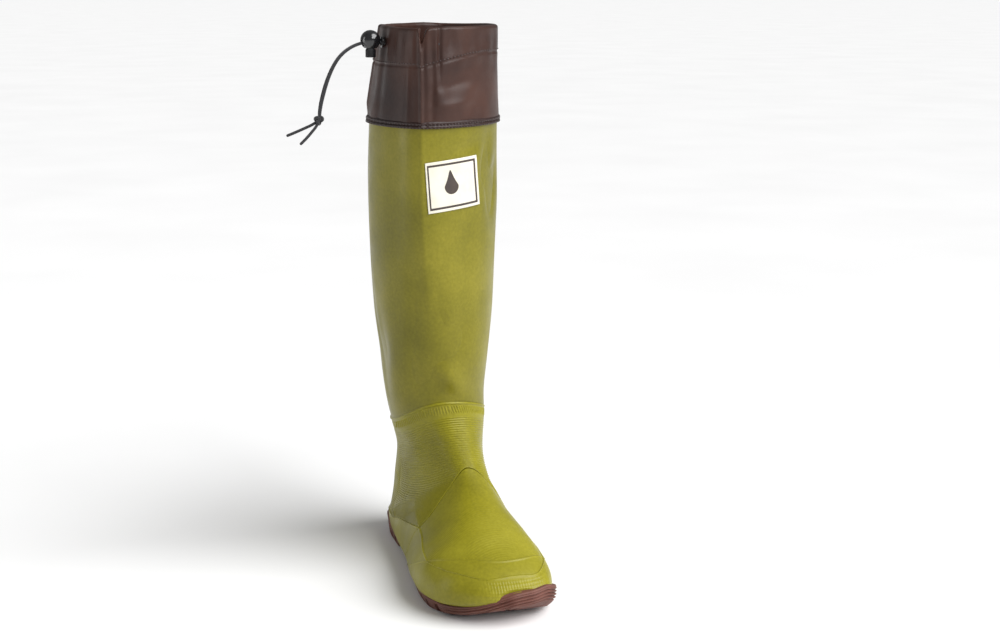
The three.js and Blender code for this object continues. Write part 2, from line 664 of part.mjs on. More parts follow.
function strandPoints(sign) {
  return STRAND.map(([x, z, spread]) => new THREE.Vector3(x, LOCK_Y - sign * spread, z));
}
add('drawcord_front', cordAlong(strandPoints(1), 22), BLACK, 0.9);
add('drawcord_rear', cordAlong(strandPoints(-1), 22), BLACK, 0.9);

const knotBall = new THREE.SphereGeometry(KNOT_RADIUS, 14, 8).scale(1, 1.05, 1.1);
const knot = add('drawcord_knot', knotBall, BLACK, 0.9);
knot.position.set(KNOT[0], LOCK_Y, KNOT[1]);

const TAILS = [
  ['drawcord_tail_rear', -1, [[-4.6, -3.4], [-11, -6.4], [-18, -9.4], [-25.5, -12.4]]],
  ['drawcord_tail_front', 1, [[-2.7, -5], [-6.8, -9.6], [-11.4, -14.2], [-16.4, -18.6]]],
];
for (const [name, sign, route] of TAILS) {
  const point = ([x, z], i) => new THREE.Vector3(KNOT[0] + x, LOCK_Y - sign * (1.5 + i), KNOT[1] + z);
  add(name, cordAlong(route.map(point), 5), BLACK, 0.9);
}

// Cord lock: a ball with a cross hole for both strands and a sprung plunger below.
const lock = new THREE.Group();
lock.position.set(LOCK_X, LOCK_Y, CORD_UP + 1.5);
boot.add(lock);
const HOLE_LOW = -5;
const HOLE_HIGH = 0.3;
const HOLE_WIDE = 6.6;
const PLUNGER = 4.2;
const PLUNGER_TRAVEL = 2.5;
const PLUNGER_TOP = 1.8;
const PLUNGER_LOW = -13.5;
const BORE_ROOF = 6.2;

function crossHole(low, high) {
  return new THREE.BoxGeometry(30, HOLE_WIDE, high - low).translate(0, 0, (low + high) / 2);
}

function rod(radius, low, high) {
  const cylinder = new THREE.CylinderGeometry(radius, radius, high - low, 20);
  return cylinder.rotateX(Math.PI / 2).translate(0, 0, (low + high) / 2);
}

const ball = new THREE.SphereGeometry(LOCK_RADIUS, 16, 10).rotateX(Math.PI / 2);
const ballBore = rod(PLUNGER + GAP, -20, BORE_ROOF);
add('cord_lock_body', cut(ball, ballBore, crossHole(HOLE_LOW, HOLE_HIGH)), BLACK, 0.2, lock);
const plungerHole = crossHole(HOLE_LOW - PLUNGER_TRAVEL, HOLE_HIGH);
add('cord_lock_plunger', cut(rod(PLUNGER, PLUNGER_LOW, PLUNGER_TOP), plungerHole), BLACK, 0.35, lock);

const springLow = PLUNGER_TOP + GAP;
const springHigh = BORE_ROOF - GAP;
const coil = new THREE.LatheGeometry([
  [2, springLow], [3.2, springLow], [3.2, springHigh], [2, springHigh], [2, springLow],
].map(([r, h]) => new THREE.Vector2(r, h)), 16).rotateX(Math.PI / 2);
add('cord_lock_spring', outward(mergeVertices(stripped(coil), 1e-4)), 0xa8a8ac, 0.3, lock);

export default boot;
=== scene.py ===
"""Looks of a packable rubber rain boot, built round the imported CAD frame."""

import math

import bmesh
import bpy
import numpy as np
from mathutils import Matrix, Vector
from mathutils.bvhtree import BVHTree


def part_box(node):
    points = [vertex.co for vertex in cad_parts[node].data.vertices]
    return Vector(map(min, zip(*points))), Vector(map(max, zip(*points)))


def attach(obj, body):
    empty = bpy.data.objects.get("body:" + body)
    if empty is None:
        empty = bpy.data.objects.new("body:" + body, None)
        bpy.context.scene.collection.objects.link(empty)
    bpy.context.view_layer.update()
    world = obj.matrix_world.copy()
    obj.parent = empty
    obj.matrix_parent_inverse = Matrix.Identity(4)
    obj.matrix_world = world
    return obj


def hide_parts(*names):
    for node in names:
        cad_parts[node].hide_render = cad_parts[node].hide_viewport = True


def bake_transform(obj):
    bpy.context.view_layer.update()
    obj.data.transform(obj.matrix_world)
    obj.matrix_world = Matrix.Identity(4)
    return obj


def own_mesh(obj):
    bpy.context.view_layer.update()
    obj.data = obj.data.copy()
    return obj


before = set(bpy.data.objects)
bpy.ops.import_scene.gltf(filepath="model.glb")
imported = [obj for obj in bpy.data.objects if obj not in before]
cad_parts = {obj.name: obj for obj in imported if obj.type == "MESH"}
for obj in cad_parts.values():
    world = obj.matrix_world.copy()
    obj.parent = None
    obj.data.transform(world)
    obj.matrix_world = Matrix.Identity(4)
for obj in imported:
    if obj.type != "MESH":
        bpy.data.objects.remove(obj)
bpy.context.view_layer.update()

MM = 0.001
TURN = 2 * math.pi
SOLE_LENGTH = (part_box("outsole")[1].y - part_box("outsole")[0].y) / MM
BOOT_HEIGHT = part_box("cuff")[1].z / MM
CENTRE_X = -2.3
RUBBER = 1.8

# ---------- camera ----------
CAMERA_AT = Vector((-0.3656, -1.2270, 0.4865))
LOOK = Vector((0.3071, 0.9287, -0.2079))
SENSOR = 36.0
LENS = 57.87


def add_object(name, data):
    obj = bpy.data.objects.new(name, data)
    bpy.context.scene.collection.objects.link(obj)
    return obj


camera_data = bpy.data.cameras.new("camera")
camera_data.sensor_width = SENSOR
camera_data.lens = LENS
camera = add_object("camera", camera_data)
camera.location = CAMERA_AT
camera.rotation_euler = LOOK.to_track_quat("-Z", "Y").to_euler()
bpy.context.scene.camera = camera

# ---------- the boot's surface: the same fan of rings as the CAD ----------
# front at, front up, back at, back up, lateral, medial, waist, round front, round back,
# centre front, centre back, twist, lens
STATIONS = np.array([
    (153, 450, 9, 450, 39, 53.5, 0.5, 2, 2, -3, -3, 22, 0.45),
    (154, 366, 8, 366, 52, 54, 0.5, 2, 2, -3, -3, 22, 0.45),
    (153, 318, 8, 318, 53.5, 54, 0.5, 2, 2, -3, -3, 22, 0.42),
    (150, 270, 10, 268, 52.5, 52.5, 0.5, 2, 2, -3, -3, 21, 0.38),
    (145, 220, 13, 215, 50, 50.5, 0.5, 2, 2, -3, -3, 18, 0.3),
    (139, 180, 18, 172, 44.5, 46.5, 0.5, 2.2, 2.2, -3, -3, 12, 0.2),
    (134, 150, 22, 136, 41.8, 42.5, 0.52, 2.1, 2.1, -2, -2, 6, 0.1),
    (134, 127, 19, 105, 36, 40, 0.54, 2.1, 2.1, 0, 0, 2, 0),
    (140, 108, 12, 76, 30, 36, 0.58, 2.1, 2.2, 2, 2, 0, 0),
    (149, 96, 6, 42, 29.5, 35, 0.62, 2.1, 3, 4, 2, 0, 0),
    (160, 87, 5, 13.5, 33, 37, 0.68, 2.1, 3.6, 5, 2, 0, 0),
    (173, 80, 38, 8.5, 40, 39.5, 0.72, 2.1, 4, 5, 3, 0, 0),
    (186, 74, 85, 9, 44.5, 40, 0.76, 2.1, 4.2, 5, 3, 0, 0),
    (198, 69, 128, 9.5, 49, 42, 0.78, 2.1, 4.2, 5, 4, 0, 0),
    (210, 64, 168, 8, 55.5, 44, 0.78, 2.1, 4.2, 5, 5, 0, 0),
    (223, 59, 202, 8, 58, 43.5, 0.76, 2.2, 4.2, 5, 5, 0, 0),
    (237, 52, 230, 9.5, 55, 41, 0.74, 2.2, 4, 6.5, 6.5, 0, 0),
    (251, 45, 250, 12.5, 46.5, 35.5, 0.7, 2.3, 3.6, 7.5, 7.5, 0, 0),
    (263, 37, 263, 16.5, 33, 28.5, 0.66, 2.3, 3, 8.5, 8.5, 0, 0),
    (270, 31, 270, 20.5, 18, 18, 0.6, 2.2, 2.5, 9, 9, 0, 0),
    (272.5, 28, 272.5, 23, 7, 7, 0.6, 2, 2, 9.5, 9.5, 0, 0),
])
TOE_TIP = len(STATIONS) - 1.0

# at, lateral, medial, centre, low, top on the lateral side, rise of the top to the medial side,
# inset of the tread
SOLE_STATIONS = np.array([
    (0, 6, 6, 3, 2, 17, 0, 1),
    (4, 19.5, 19, 3, 0, 17, 0, 1),
    (18, 32.5, 30.5, 3, 0, 17, 0, 1.5),
    (39, 36.5, 34.5, 3, 0, 16.5, 0, 1.5),
    (69, 37.5, 34.5, 3, 0, 14.5, 0, 1.5),
    (71, 37.5, 34.5, 3, 5, 14.4, 0, 1.5),
    (107, 39.5, 32, 3, 5, 12.5, 0, 1.5),
    (136, 43.5, 34, 3, 3, 12.5, 0, 2),
    (156, 49, 37.5, 4, 0, 12, 0, 2.5),
    (185, 53, 42, 4, 0, 11.5, 0, 3),
    (209, 54, 44, 5, 0.5, 11, 1.5, 3),
    (233, 48.5, 43.5, 6.5, 2, 11, 5, 3.5),
    (252, 38.5, 38, 8, 5, 14, 9, 6),
    (266, 26, 27, 10, 10, 20, 9, 7),
    (275, 8, 10, 11, 15, 28, 2, 6),
])


def monotone(values, t):
    """Cubic through the rows of values at 0, 1, 2 and so on, which never overshoots them."""
    steps = np.diff(values, axis=0)
    product = steps[:-1] * steps[1:]
    total = steps[:-1] + steps[1:]
    inner = np.where(product > 0, 2 * product / np.where(total == 0, 1, total), 0)
    slopes = np.vstack([steps[:1], inner, steps[-1:]])
    i = np.clip(np.floor(t).astype(int), 0, len(values) - 2)
    u = (t - i)[..., None]
    u2, u3 = u * u, u * u * u
    return (
        (2 * u3 - 3 * u2 + 1) * values[i] + (u3 - 2 * u2 + u) * slopes[i]
        + (3 * u2 - 2 * u3) * values[i + 1] + (u3 - u2) * slopes[i + 1]
    )


def smooth(x):
    """A soft step from 0 to 1."""
    x = np.clip(x, 0, 1)
    return x * x * (3 - 2 * x)


def bell(x, width):
    return np.exp(-((x / width) ** 2))


def full_turn(count):
    """Even angles once round."""
    return np.linspace(0, TURN, count, endpoint=False)


def angle_from(phi, centre):
    return np.mod(phi - centre + math.pi, TURN) - math.pi


def place(side, forward, up):
    """Points of the frame, in mm, from the distances to the side, forward of the heel and up."""
    return np.stack([side - CENTRE_X, SOLE_LENGTH / 2 - forward, up], axis=-1)


def surface(t, phi):
    """Points of the boot's outer surface, in mm, at ring t and angle phi."""
    ring = monotone(STATIONS, np.clip(t, 0, TOE_TIP))
    (f_at, f_up, b_at, b_up, lateral, medial, waist, round_f, round_b, c_f, c_b, twist, lens) = np.moveaxis(
        ring, -1, 0)
    c, s = np.cos(phi), np.sin(phi)
    exponent = 2 / np.where(c > 0, round_f, round_b)
    along = np.sign(c) * np.abs(c) ** exponent
    across = np.sign(s) * ((1 - lens) * np.abs(s) ** exponent + lens * s * s)
    q = np.where(c > 0, waist * (1 - along), waist - (1 - waist) * along)
    middle = f_at + (b_at - f_at) * waist
    side = -across * np.where(s > 0, lateral, medial)
    ahead = f_at + (b_at - f_at) * q - middle
    centre = c_f + (c_b - c_f) * q
    turn = np.radians(twist)
    return place(
        centre + side * np.cos(turn) - ahead * np.sin(turn),
        middle + ahead * np.cos(turn) + side * np.sin(turn),
        f_up + (b_up - f_up) * q,
    )


def level(ring):
    """A seam that keeps to one ring number."""
    return lambda phi: ring + 0 * phi


def inward(t, phi):
    """Unit normals of the surface, pointing into the boot."""
    step = 0.02
    down = surface(np.minimum(t + step, TOE_TIP), phi) - surface(np.maximum(t - step, 0), phi)
    around = surface(t, phi + step) - surface(t, phi - step)
    normal = np.cross(down, around)
    return normal / np.linalg.norm(normal, axis=-1, keepdims=True)


def skin(t, phi, depth):
    """Points that far under the surface, in mm."""
    return surface(t, phi) + inward(t, phi) * np.asarray(depth)[..., None]


# ---------- seams, as ring numbers over the angle ----------
SEAM_SIDE = math.radians(63)
SIDE_LOW = math.radians(147)
SEAM_GAP = 0.014
LAP = 0.02
ARCH_GAP = 0.035
TIP_GAP = 0.003
SHAFT_GAP = 0.004
VAMP_PEAK = 9.32
HEEL_BACK = 9.35
HEEL_JOIN = 12.4


def panel_top(phi):
    return 6.2 + np.where(np.sin(phi) > 0, 0.55, 0.3) * np.sin(phi) ** 2 + 0.15 * (1 - np.cos(phi))


def vamp_seam(phi):
    return VAMP_PEAK + 6.5 * np.sin(phi) ** 2 - 3.4 * np.sin(phi) ** 4


def cap_seam(phi):
    return 16.8 - np.where(phi > 0, 2.4, 1.35) * np.sin(phi) ** 2


def guard_rear(phi):
    return cap_seam(np.sign(phi) * SEAM_SIDE) - 1.8 * np.tanh((np.abs(phi) - SEAM_SIDE) / 0.6)


def guard_seam(phi):
    start = np.maximum(17.8 - 5.7 * np.sin(phi) ** 6, cap_seam(phi) + TIP_GAP)
    return np.where(np.abs(phi) > SEAM_SIDE, guard_rear(phi), start)


def heel_seam(phi):
    return HEEL_BACK + (HEEL_JOIN - HEEL_BACK) * ((math.pi - np.abs(phi)) / (math.pi - SEAM_SIDE)) ** 2.6


def heel_front(phi):
    return HEEL_JOIN + 0.6 * smooth((np.abs(phi) - SEAM_SIDE) / 0.5)


def heel_under(phi):
    return heel_front(phi) + (10.9 - heel_front(phi)) * smooth((np.abs(phi) - 2.3) / 0.3)


def wrapped(phi):
    """The angle from the front crease, the same on both sides."""
    return math.pi - np.abs(phi - math.pi)


def panel_low(phi):
    turned = wrapped(np.mod(phi, TURN))
    side = np.minimum(heel_seam(turned), vamp_seam(SEAM_SIDE))
    return np.where(turned < SEAM_SIDE, vamp_seam(turned), side) - SEAM_GAP


# ---------- meshes ----------
def new_object(name, points, faces, uv=None, sharp=40):
    """A smooth-shaded mesh object. points are in mm, uv is one pair per vertex, in mm."""
    mesh = bpy.data.meshes.new(name)
    mesh.from_pydata((np.asarray(points) * MM).tolist(), [], [list(map(int, f)) for f in faces])
    mesh.validate()
    mesh.shade_smooth()
    mesh.set_sharp_from_angle(angle=math.radians(sharp))
    if uv is not None:
        layer = mesh.uv_layers.new(name="cloth")
        corner = np.zeros(len(mesh.loops), int)
        mesh.loops.foreach_get("vertex_index", corner)
        layer.data.foreach_set("uv", (np.asarray(uv)[corner] * MM).ravel())
    return add_object(name, mesh)


def grid_faces(columns, rows, start=0, closed=True, flip=False, round_rows=False):
    """Quads of a grid of points held column by column. closed joins the last column to the first, and
    round_rows joins the last row to the first."""
    i = np.arange(columns if closed else columns - 1)
    j = np.arange(rows if round_rows else rows - 1)
    a, b = np.meshgrid(i, j, indexing="ij")
    c = (a + 1) % columns
    d = (b + 1) % rows
    quads = np.stack([a * rows + b, a * rows + d, c * rows + d, c * rows + b], axis=-1).reshape(-1, 4)
    return (quads[:, ::-1] if flip else quads) + start


def slab_faces(columns, rows, closed, low_end=True):
    """Faces of an outer and an inner grid of points, joined along their edges."""
    far = columns * rows
    i, j = np.arange(columns if closed else columns - 1), np.arange(rows - 1)
    here, after, last = i * rows, (i + 1) % columns * rows, (columns - 1) * rows
    edges = [(here, after)]
    if low_end:
        edges.append((after + rows - 1, here + rows - 1))
    if not closed:
        edges += [(j + 1, j), (last + j, last + j + 1)]
    faces = [grid_faces(columns, rows, 0, closed), grid_faces(columns, rows, far, closed, flip=True)]
    faces += [np.stack([a, b, b + far, a + far], 1) for a, b in edges]
    return np.concatenate(faces)


def tube_faces(count, sides, start=0):
    """Faces of rings of points joined into one body, with a cap at each end."""
    walls = grid_faces(count, sides, start, closed=False, round_rows=True).tolist()
    ring = np.arange(sides) + start
    return walls + [ring[::-1].tolist(), (ring + (count - 1) * sides).tolist()]


def edge_drop(distance, radius):
    """How far a rounded edge falls, at a distance from it."""
    d = np.clip(distance / max(radius, 1e-6), 0, 1)
    return radius * (1 - np.sqrt(np.clip(1 - (1 - d) ** 2, 0, 1)))


def spaced(count, edge_share):
    """Shares from 0 to 1, with a few close ones at both ends for the rounded edges."""
    ends = edge_share * np.array([0, 0.12, 0.3, 0.6, 1.0])
    return np.concatenate([ends, np.linspace(edge_share, 1 - edge_share, count)[1:-1], 1 - ends[::-1]])


def arc_length(points, axis=0):
    """Distance along a line of points, or along the columns or rows of a grid of them."""
    steps = np.linalg.norm(np.diff(points, axis=axis), axis=-1)
    shape = list(steps.shape)
    shape[axis] = 1
    return np.concatenate([np.zeros(shape), np.cumsum(steps, axis=axis)], axis=axis)


EDGE_SHARE = 0.012
FADE = 1.5


def panel(name, top, low, start, end, size, outer=0.0, inner=RUBBER, relief=None, roll=0.7, closed=False):
    """A piece of the boot's skin between two seams and two angles, with rounded edges. roll is the radius
    of all its edges, or of its top, low and side edges.
    relief(t, phi, down, across) gives how far each point stands proud, in mm."""
    columns, rows = size
    u = np.linspace(0, 1, columns, endpoint=False) if closed else spaced(columns, EDGE_SHARE)
    v = spaced(rows, EDGE_SHARE)
    u, v = np.meshgrid(u, v, indexing="ij")
    phi = start + (end - start) * u
    t = top(phi) * (1 - v) + low(phi) * v
    base = surface(t, phi)
    down = arc_length(base, 1)
    across = arc_length(base)
    edges = [down, down[:, -1:] - down]
    if not closed:
        edges.append(np.minimum(across, across[-1:] - across))
    edge = np.minimum.reduce(edges)
    rolls = roll if isinstance(roll, tuple) else (roll, roll, roll)
    depth = outer + np.maximum.reduce([edge_drop(away, radius) for away, radius in zip(edges, rolls)])
    if relief:
        depth = depth - relief(t, phi, down, across) * smooth(edge / FADE)
    outside = skin(t, phi, depth)
    inside = skin(t, phi, inner + 0 * t)
    points = np.concatenate([outside.reshape(-1, 3), inside.reshape(-1, 3)])
    uv = np.stack([across, down], -1).reshape(-1, 2)
    return new_object(name, points, slab_faces(*t.shape, closed), np.concatenate([uv, uv]))


def ring_tube(rings, name, uv=None):
    """Rings of points joined into one body. rings has the shape (count, sides, 3)."""
    return new_object(name, rings.reshape(-1, 3), tube_faces(*rings.shape[:2]), uv)


def round_line(line, a, b, radius, turn):
    """Rings of points round a line, in the two directions a and b across it."""
    return (
        line[:, None] + a[:, None] * (radius * np.cos(turn))[..., None]
        + b[:, None] * (radius * np.sin(turn))[..., None]
    )


# ---------- materials ----------
def linear(red, green, blue):
    """Scene colour of a display colour given from 0 to 255."""
    return tuple(((c / 255 + 0.055) / 1.055) ** 2.4 for c in (red, green, blue)) + (1,)


class Recipe:
    """A material built node by node around one Principled shader."""

    def __init__(self, name, metallic=0.0, coat=0.0, coat_rough=0.2, sheen=0.0, specular=0.5):
        self.material = bpy.data.materials.new(name)
        self.material.use_nodes = True
        self.tree = self.material.node_tree
        self.shader = self.tree.nodes["Principled BSDF"]
        self.place = self.tree.nodes.new("ShaderNodeTexCoord").outputs
        self.height = None
        self.fill(self.shader, {
            "Metallic": metallic, "Coat Weight": coat, "Coat Roughness": coat_rough, "Sheen Weight": sheen,
            "Specular IOR Level": specular,
        })

    def fill(self, node, inputs):
        """Gives a node's inputs their values, or links them to the outputs of other nodes."""
        for name, value in inputs.items():
            if isinstance(value, bpy.types.NodeSocket):
                self.tree.links.new(value, node.inputs[name])
            else:
                node.inputs[name].default_value = value

    def node(self, kind, inputs):
        node = self.tree.nodes.new("ShaderNode" + kind)
        self.fill(node, inputs)
        return node

    def noise(self, scale, detail, stretch=(1, 1, 1)):
        where = self.node("Mapping", {"Scale": stretch, "Vector": self.place["Object"]}).outputs["Vector"]
        return self.node("TexNoise", {"Scale": scale, "Detail": detail, "Vector": where}).outputs["Fac"]

    def wave(self, pitch, angle):
        """Even lines, pitch metres apart, turned by an angle in degrees."""
        turned = (0, 0, math.radians(angle))
        where = self.node("Mapping", {"Rotation": turned, "Vector": self.place["UV"]}).outputs["Vector"]
        return self.node("TexWave", {"Scale": math.pi / (10 * pitch), "Vector": where}).outputs["Fac"]

    def math(self, operation, a, b):
        node = self.node("Math", {0: a, 1: b})
        node.operation = operation
        return node.outputs[0]

    def ramp(self, value, stops):
        """Colours along a value. Each stop is a position and a display colour."""
        node = self.node("ValToRGB", {"Fac": value})
        stops = list(stops)
        while len(node.color_ramp.elements) < len(stops):
            node.color_ramp.elements.new(0.5)
        for element, (position, colour) in zip(node.color_ramp.elements, stops):
            element.position = position
            element.color = linear(*colour)
        return node.outputs["Color"]

    def colour(self, value):
        self.fill(self.shader, {"Base Color": value})

    def rough(self, value, low, high):
        inputs = {"Value": value, "From Min": 0.3, "From Max": 0.7, "To Min": low, "To Max": high}
        self.fill(self.shader, {"Roughness": self.node("MapRange", inputs).outputs["Result"]})

    def bump(self, value, depth, strength):
        """Adds a bump of that depth in metres on top of the ones before it."""
        node = self.node("Bump", {"Strength": strength, "Distance": depth, "Height": value})
        if self.height is not None:
            self.fill(node, {"Normal": self.height})
        self.height = node.outputs["Normal"]
        self.fill(self.shader, {"Normal": self.height})


def olive_rubber(name, colours, rough):
    """Natural rubber: an uneven tint in large soft patches, small specks and a fine pebble."""
    m = Recipe(name, coat=0.07, coat_rough=0.28, specular=0.2)
    patches = m.noise(14, 5)
    specks = m.noise(420, 2)
    blend = m.math("ADD", m.math("MULTIPLY", patches, 0.75), m.math("MULTIPLY", specks, 0.25))
    m.colour(m.ramp(blend, zip((0.3, 0.5, 0.72), colours)))
    m.rough(m.noise(38, 4), rough, rough + 0.16)
    m.bump(m.noise(900, 2), 0.0001, 0.35)
    m.bump(m.noise(60, 3), 0.0006, 0.3)
    return m.material


def knit(name, dark, light, pitch):
    """Small crossing loops with fuzz, at that pitch in metres."""
    m = Recipe(name, sheen=0.4, specular=0.2)
    loops = m.math("MULTIPLY", m.wave(pitch, 0), m.wave(pitch * 0.8, 90))
    fuzz = m.noise(700, 3)
    m.colour(m.ramp(m.math("ADD", m.math("MULTIPLY", loops, 0.5), m.math("MULTIPLY", fuzz, 0.5)),
                    [(0.2, dark), (0.7, light)]))
    m.rough(fuzz, 0.85, 0.98)
    m.bump(loops, 0.0003, 0.6)
    m.bump(fuzz, 0.0002, 0.4)
    return m.material


def coated_cloth(name, dark, light):
    """Cloth under a thin coating: a fine weave shows through, with creases and a soft gloss."""
    m = Recipe(name, coat=0.03, coat_rough=0.3, specular=0.28)
    weave = m.math("MULTIPLY", m.wave(0.0007, 0), m.wave(0.0007, 90))
    wear = m.noise(22, 5)
    m.colour(m.ramp(wear, [(0.3, dark), (0.7, light)]))
    m.rough(m.noise(50, 4), 0.34, 0.5)
    m.bump(weave, 0.00012, 0.35)
    m.bump(m.noise(45, 4, stretch=(1, 1, 0.45)), 0.0012, 0.35)
    return m.material


def gum_rubber(name, dark, light):
    """Dull sole rubber with a coarse grain."""
    m = Recipe(name, specular=0.4)
    grain = m.noise(160, 5)
    m.colour(m.ramp(m.math("ADD", m.math("MULTIPLY", m.noise(26, 4), 0.6), m.math("MULTIPLY", grain, 0.4)),
                    [(0.3, dark), (0.68, light)]))
    m.rough(grain, 0.5, 0.72)
    m.bump(grain, 0.0003, 0.35)
    return m.material


def worn(name, dark, light, noise, rough, bump=None, light_at=0.7, **shader):
    """One noise gives both the colour and the gloss, and a bump lies on top."""
    m = Recipe(name, **shader)
    wear = m.noise(*noise)
    m.colour(m.ramp(wear, [(0.3, dark), (light_at, light)]))
    m.rough(wear, *rough)
    if bump:
        scale, detail, depth, strength = bump
        m.bump(m.noise(scale, detail), depth, strength)
    return m.material


def moulded_plastic(name, dark, light, rough, coat, bump=0.15):
    fine = (1500, 2, 0.00006, bump)
    return worn(name, dark, light, (240, 4), rough, fine, 0.75, coat=coat, coat_rough=0.08)


def printed_rubber(name, dark, light):
    fine = (1300, 2, 0.00008, 0.3)
    return worn(name, dark, light, (90, 5), (0.42, 0.58), fine, coat=0.1, coat_rough=0.3)


def braid_cord(name, dark, light):
    fine = (2600, 3, 0.0001, 0.5)
    return worn(name, dark, light, (2600, 3), (0.55, 0.8), fine, 0.75, sheen=0.3, specular=0.35)


OLIVE = olive_rubber("olive_rubber", ((96, 92, 22), (117, 111, 28), (138, 130, 40)), 0.3)
OLIVE_FOOT = olive_rubber("olive_foot", ((112, 107, 20), (136, 130, 30), (156, 149, 46)), 0.32)
COTTON = knit("cotton_knit", (120, 108, 84), (176, 164, 136), 0.0016)
FELT = knit("footbed_felt", (92, 84, 68), (140, 130, 108), 0.0024)
BOARD = knit("fibre_board", (120, 104, 80), (150, 134, 106), 0.003)
CUFF_CLOTH = coated_cloth("cuff_cloth", (36, 19, 15), (68, 42, 33))
BINDING_CLOTH = coated_cloth("binding_cloth", (28, 14, 12), (48, 28, 24))
GUM = gum_rubber("gum_rubber", (78, 44, 37), (116, 74, 63))
CREAM = printed_rubber("label_cream", (214, 209, 192), (226, 222, 208))
INK = printed_rubber("label_ink", (48, 38, 34), (66, 54, 48))
CORD_BLACK = braid_cord("cord_black", (20, 20, 22), (52, 52, 56))
GLOSS_BLACK = moulded_plastic("gloss_black", (14, 14, 16), (28, 28, 31), (0.16, 0.28), 0.6)
MATT_BLACK = moulded_plastic("matt_black", (18, 18, 20), (38, 38, 42), (0.4, 0.55), 0.1, 0.4)
STEEL = worn("spring_steel", (150, 150, 155), (205, 205, 210), (1800, 3, (1, 1, 6)), (0.22, 0.38),
             metallic=1.0)
THREAD = braid_cord("thread_brown", (38, 24, 22), (64, 44, 40))
EYELET_PAINT = moulded_plastic("eyelet_paint", (20, 20, 22), (44, 42, 42), (0.25, 0.42), 0.3)


def dress(obj, material, body, slot, *replaced):
    """Gives a piece its material and its body, and hides the CAD nodes it stands for. slot is not used."""
    obj.data.materials.clear()
    obj.data.materials.append(material)
    if body:
        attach(obj, body)
    if replaced:
        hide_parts(*replaced)
    return obj


# ---------- drawcord, knot and lock ----------
CORD = 2.4
BRAID_LAY = 1.35
MELTED = 1.2
STRAND_SPREAD = 1.35
lock_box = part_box("cord_lock_body")
LOCK_X = (lock_box[0].x + lock_box[1].x) / 2 / MM
LOCK_Y = (lock_box[0].y + lock_box[1].y) / 2 / MM
CORD_UP = 437.0
CUFF_X = LOCK_X + 10.2
LOCK_UP = CORD_UP + 1.5
KNOT = np.array([LOCK_X - 43, LOCK_Y, CORD_UP - 60.5])

# x from the lock, height from the cord's, and half the distance between the strands
STRAND = [
    (12, 0, STRAND_SPREAD), (6, 0, STRAND_SPREAD), (0, 0, STRAND_SPREAD), (-5.9, -0.5, STRAND_SPREAD),
    (-11.6, -2.05, STRAND_SPREAD), (-17, -4.6, 1.4), (-21.9, -8, 1.5), (-26.1, -12.2, 1.5),
    (-29.8, -17.5, 1.6), (-33.2, -24, 1.9), (-36.3, -31.5, 2.3), (-39, -40, 2.4), (-41.2, -48.5, 2),
    (-42.2, -54.5, 1.5), (-43, -60.5, 1.0),
]
TAILS = {
    -1: [(-4.6, -3.4), (-11, -6.4), (-18, -9.4), (-25.5, -12.4)],
    1: [(-2.7, -5), (-6.8, -9.6), (-11.4, -14.2), (-16.4, -18.6)],
}


def spline(points, count):
    """Even points on a centripetal Catmull-Rom curve through the given ones, and its length."""
    p = np.asarray(points, float)
    p = np.vstack([2 * p[0] - p[1], p, 2 * p[-1] - p[-2]])
    pieces = []
    for first in range(len(p) - 3):
        four = p[first:first + 4]
        knots = np.concatenate([[0], np.cumsum(np.linalg.norm(np.diff(four, axis=0), axis=1) ** 0.5)])
        t = np.linspace(knots[1], knots[2], 24, endpoint=False)[:, None]

        def between(a, b, i, j):
            return ((knots[j] - t) * a + (t - knots[i]) * b) / (knots[j] - knots[i])

        low, middle, high = (between(four[k], four[k + 1], k, k + 1) for k in range(3))
        pieces.append(between(between(low, middle, 0, 2), between(middle, high, 1, 3), 1, 2))
    line = np.vstack(pieces + [p[-2][None]])
    run = arc_length(line)
    even = np.linspace(0, run[-1], count)
    return np.stack([np.interp(even, run, line[:, k]) for k in range(3)], 1), run[-1]


def frames(line):
    """Two directions across a line that turn as little as possible along it."""
    tangent = np.gradient(line, axis=0)
    tangent /= np.linalg.norm(tangent, axis=1, keepdims=True)
    normal = np.cross(tangent[0], (0.1, 0.9, 0.3))
    normals = []
    for k in range(len(line)):
        normal = normal - tangent[k] * (normal @ tangent[k])
        normal /= np.linalg.norm(normal)
        normals.append(normal)
    normals = np.array(normals)
    return normals, np.cross(tangent, normals)


def braid_radius(diameter, turn, along, strands):
    """Radius of a cord whose strands cross on its surface."""
    ridge = np.abs(np.cos(strands * turn + along) * np.cos(strands * turn - along)) ** 0.6
    return diameter / 2 * (0.93 + 0.07 * ridge)


def braided(line, name, sides=20):
    """A round cord with the crossing strands of its braid and a melted end, on a line in mm."""
    run = arc_length(line)
    turn = full_turn(sides)[None, :]
    left = (run[-1] - run)[:, None]
    melted = np.where(left < MELTED, 0.55 + 0.45 * np.sqrt(np.clip(left / MELTED, 0, 1)), 1)
    radius = braid_radius(CORD, turn, run[:, None] / BRAID_LAY * math.pi, 2.5) * melted
    uv = np.stack(np.broadcast_arrays(turn * CORD / 2, run[:, None]), -1).reshape(-1, 2)
    return ring_tube(round_line(line, *frames(line), radius, turn), name, uv)


def knot_line(count):
    """The overhand knot's line: a trefoil squeezed into the knot's place."""
    a = full_turn(count)
    x = np.sin(a) + 2 * np.sin(2 * a)
    y = np.cos(a) - 2 * np.cos(2 * a)
    z = -np.sin(3 * a)
    return np.stack([x * 1.05, z * 1.7, y * 1.1], -1) + KNOT


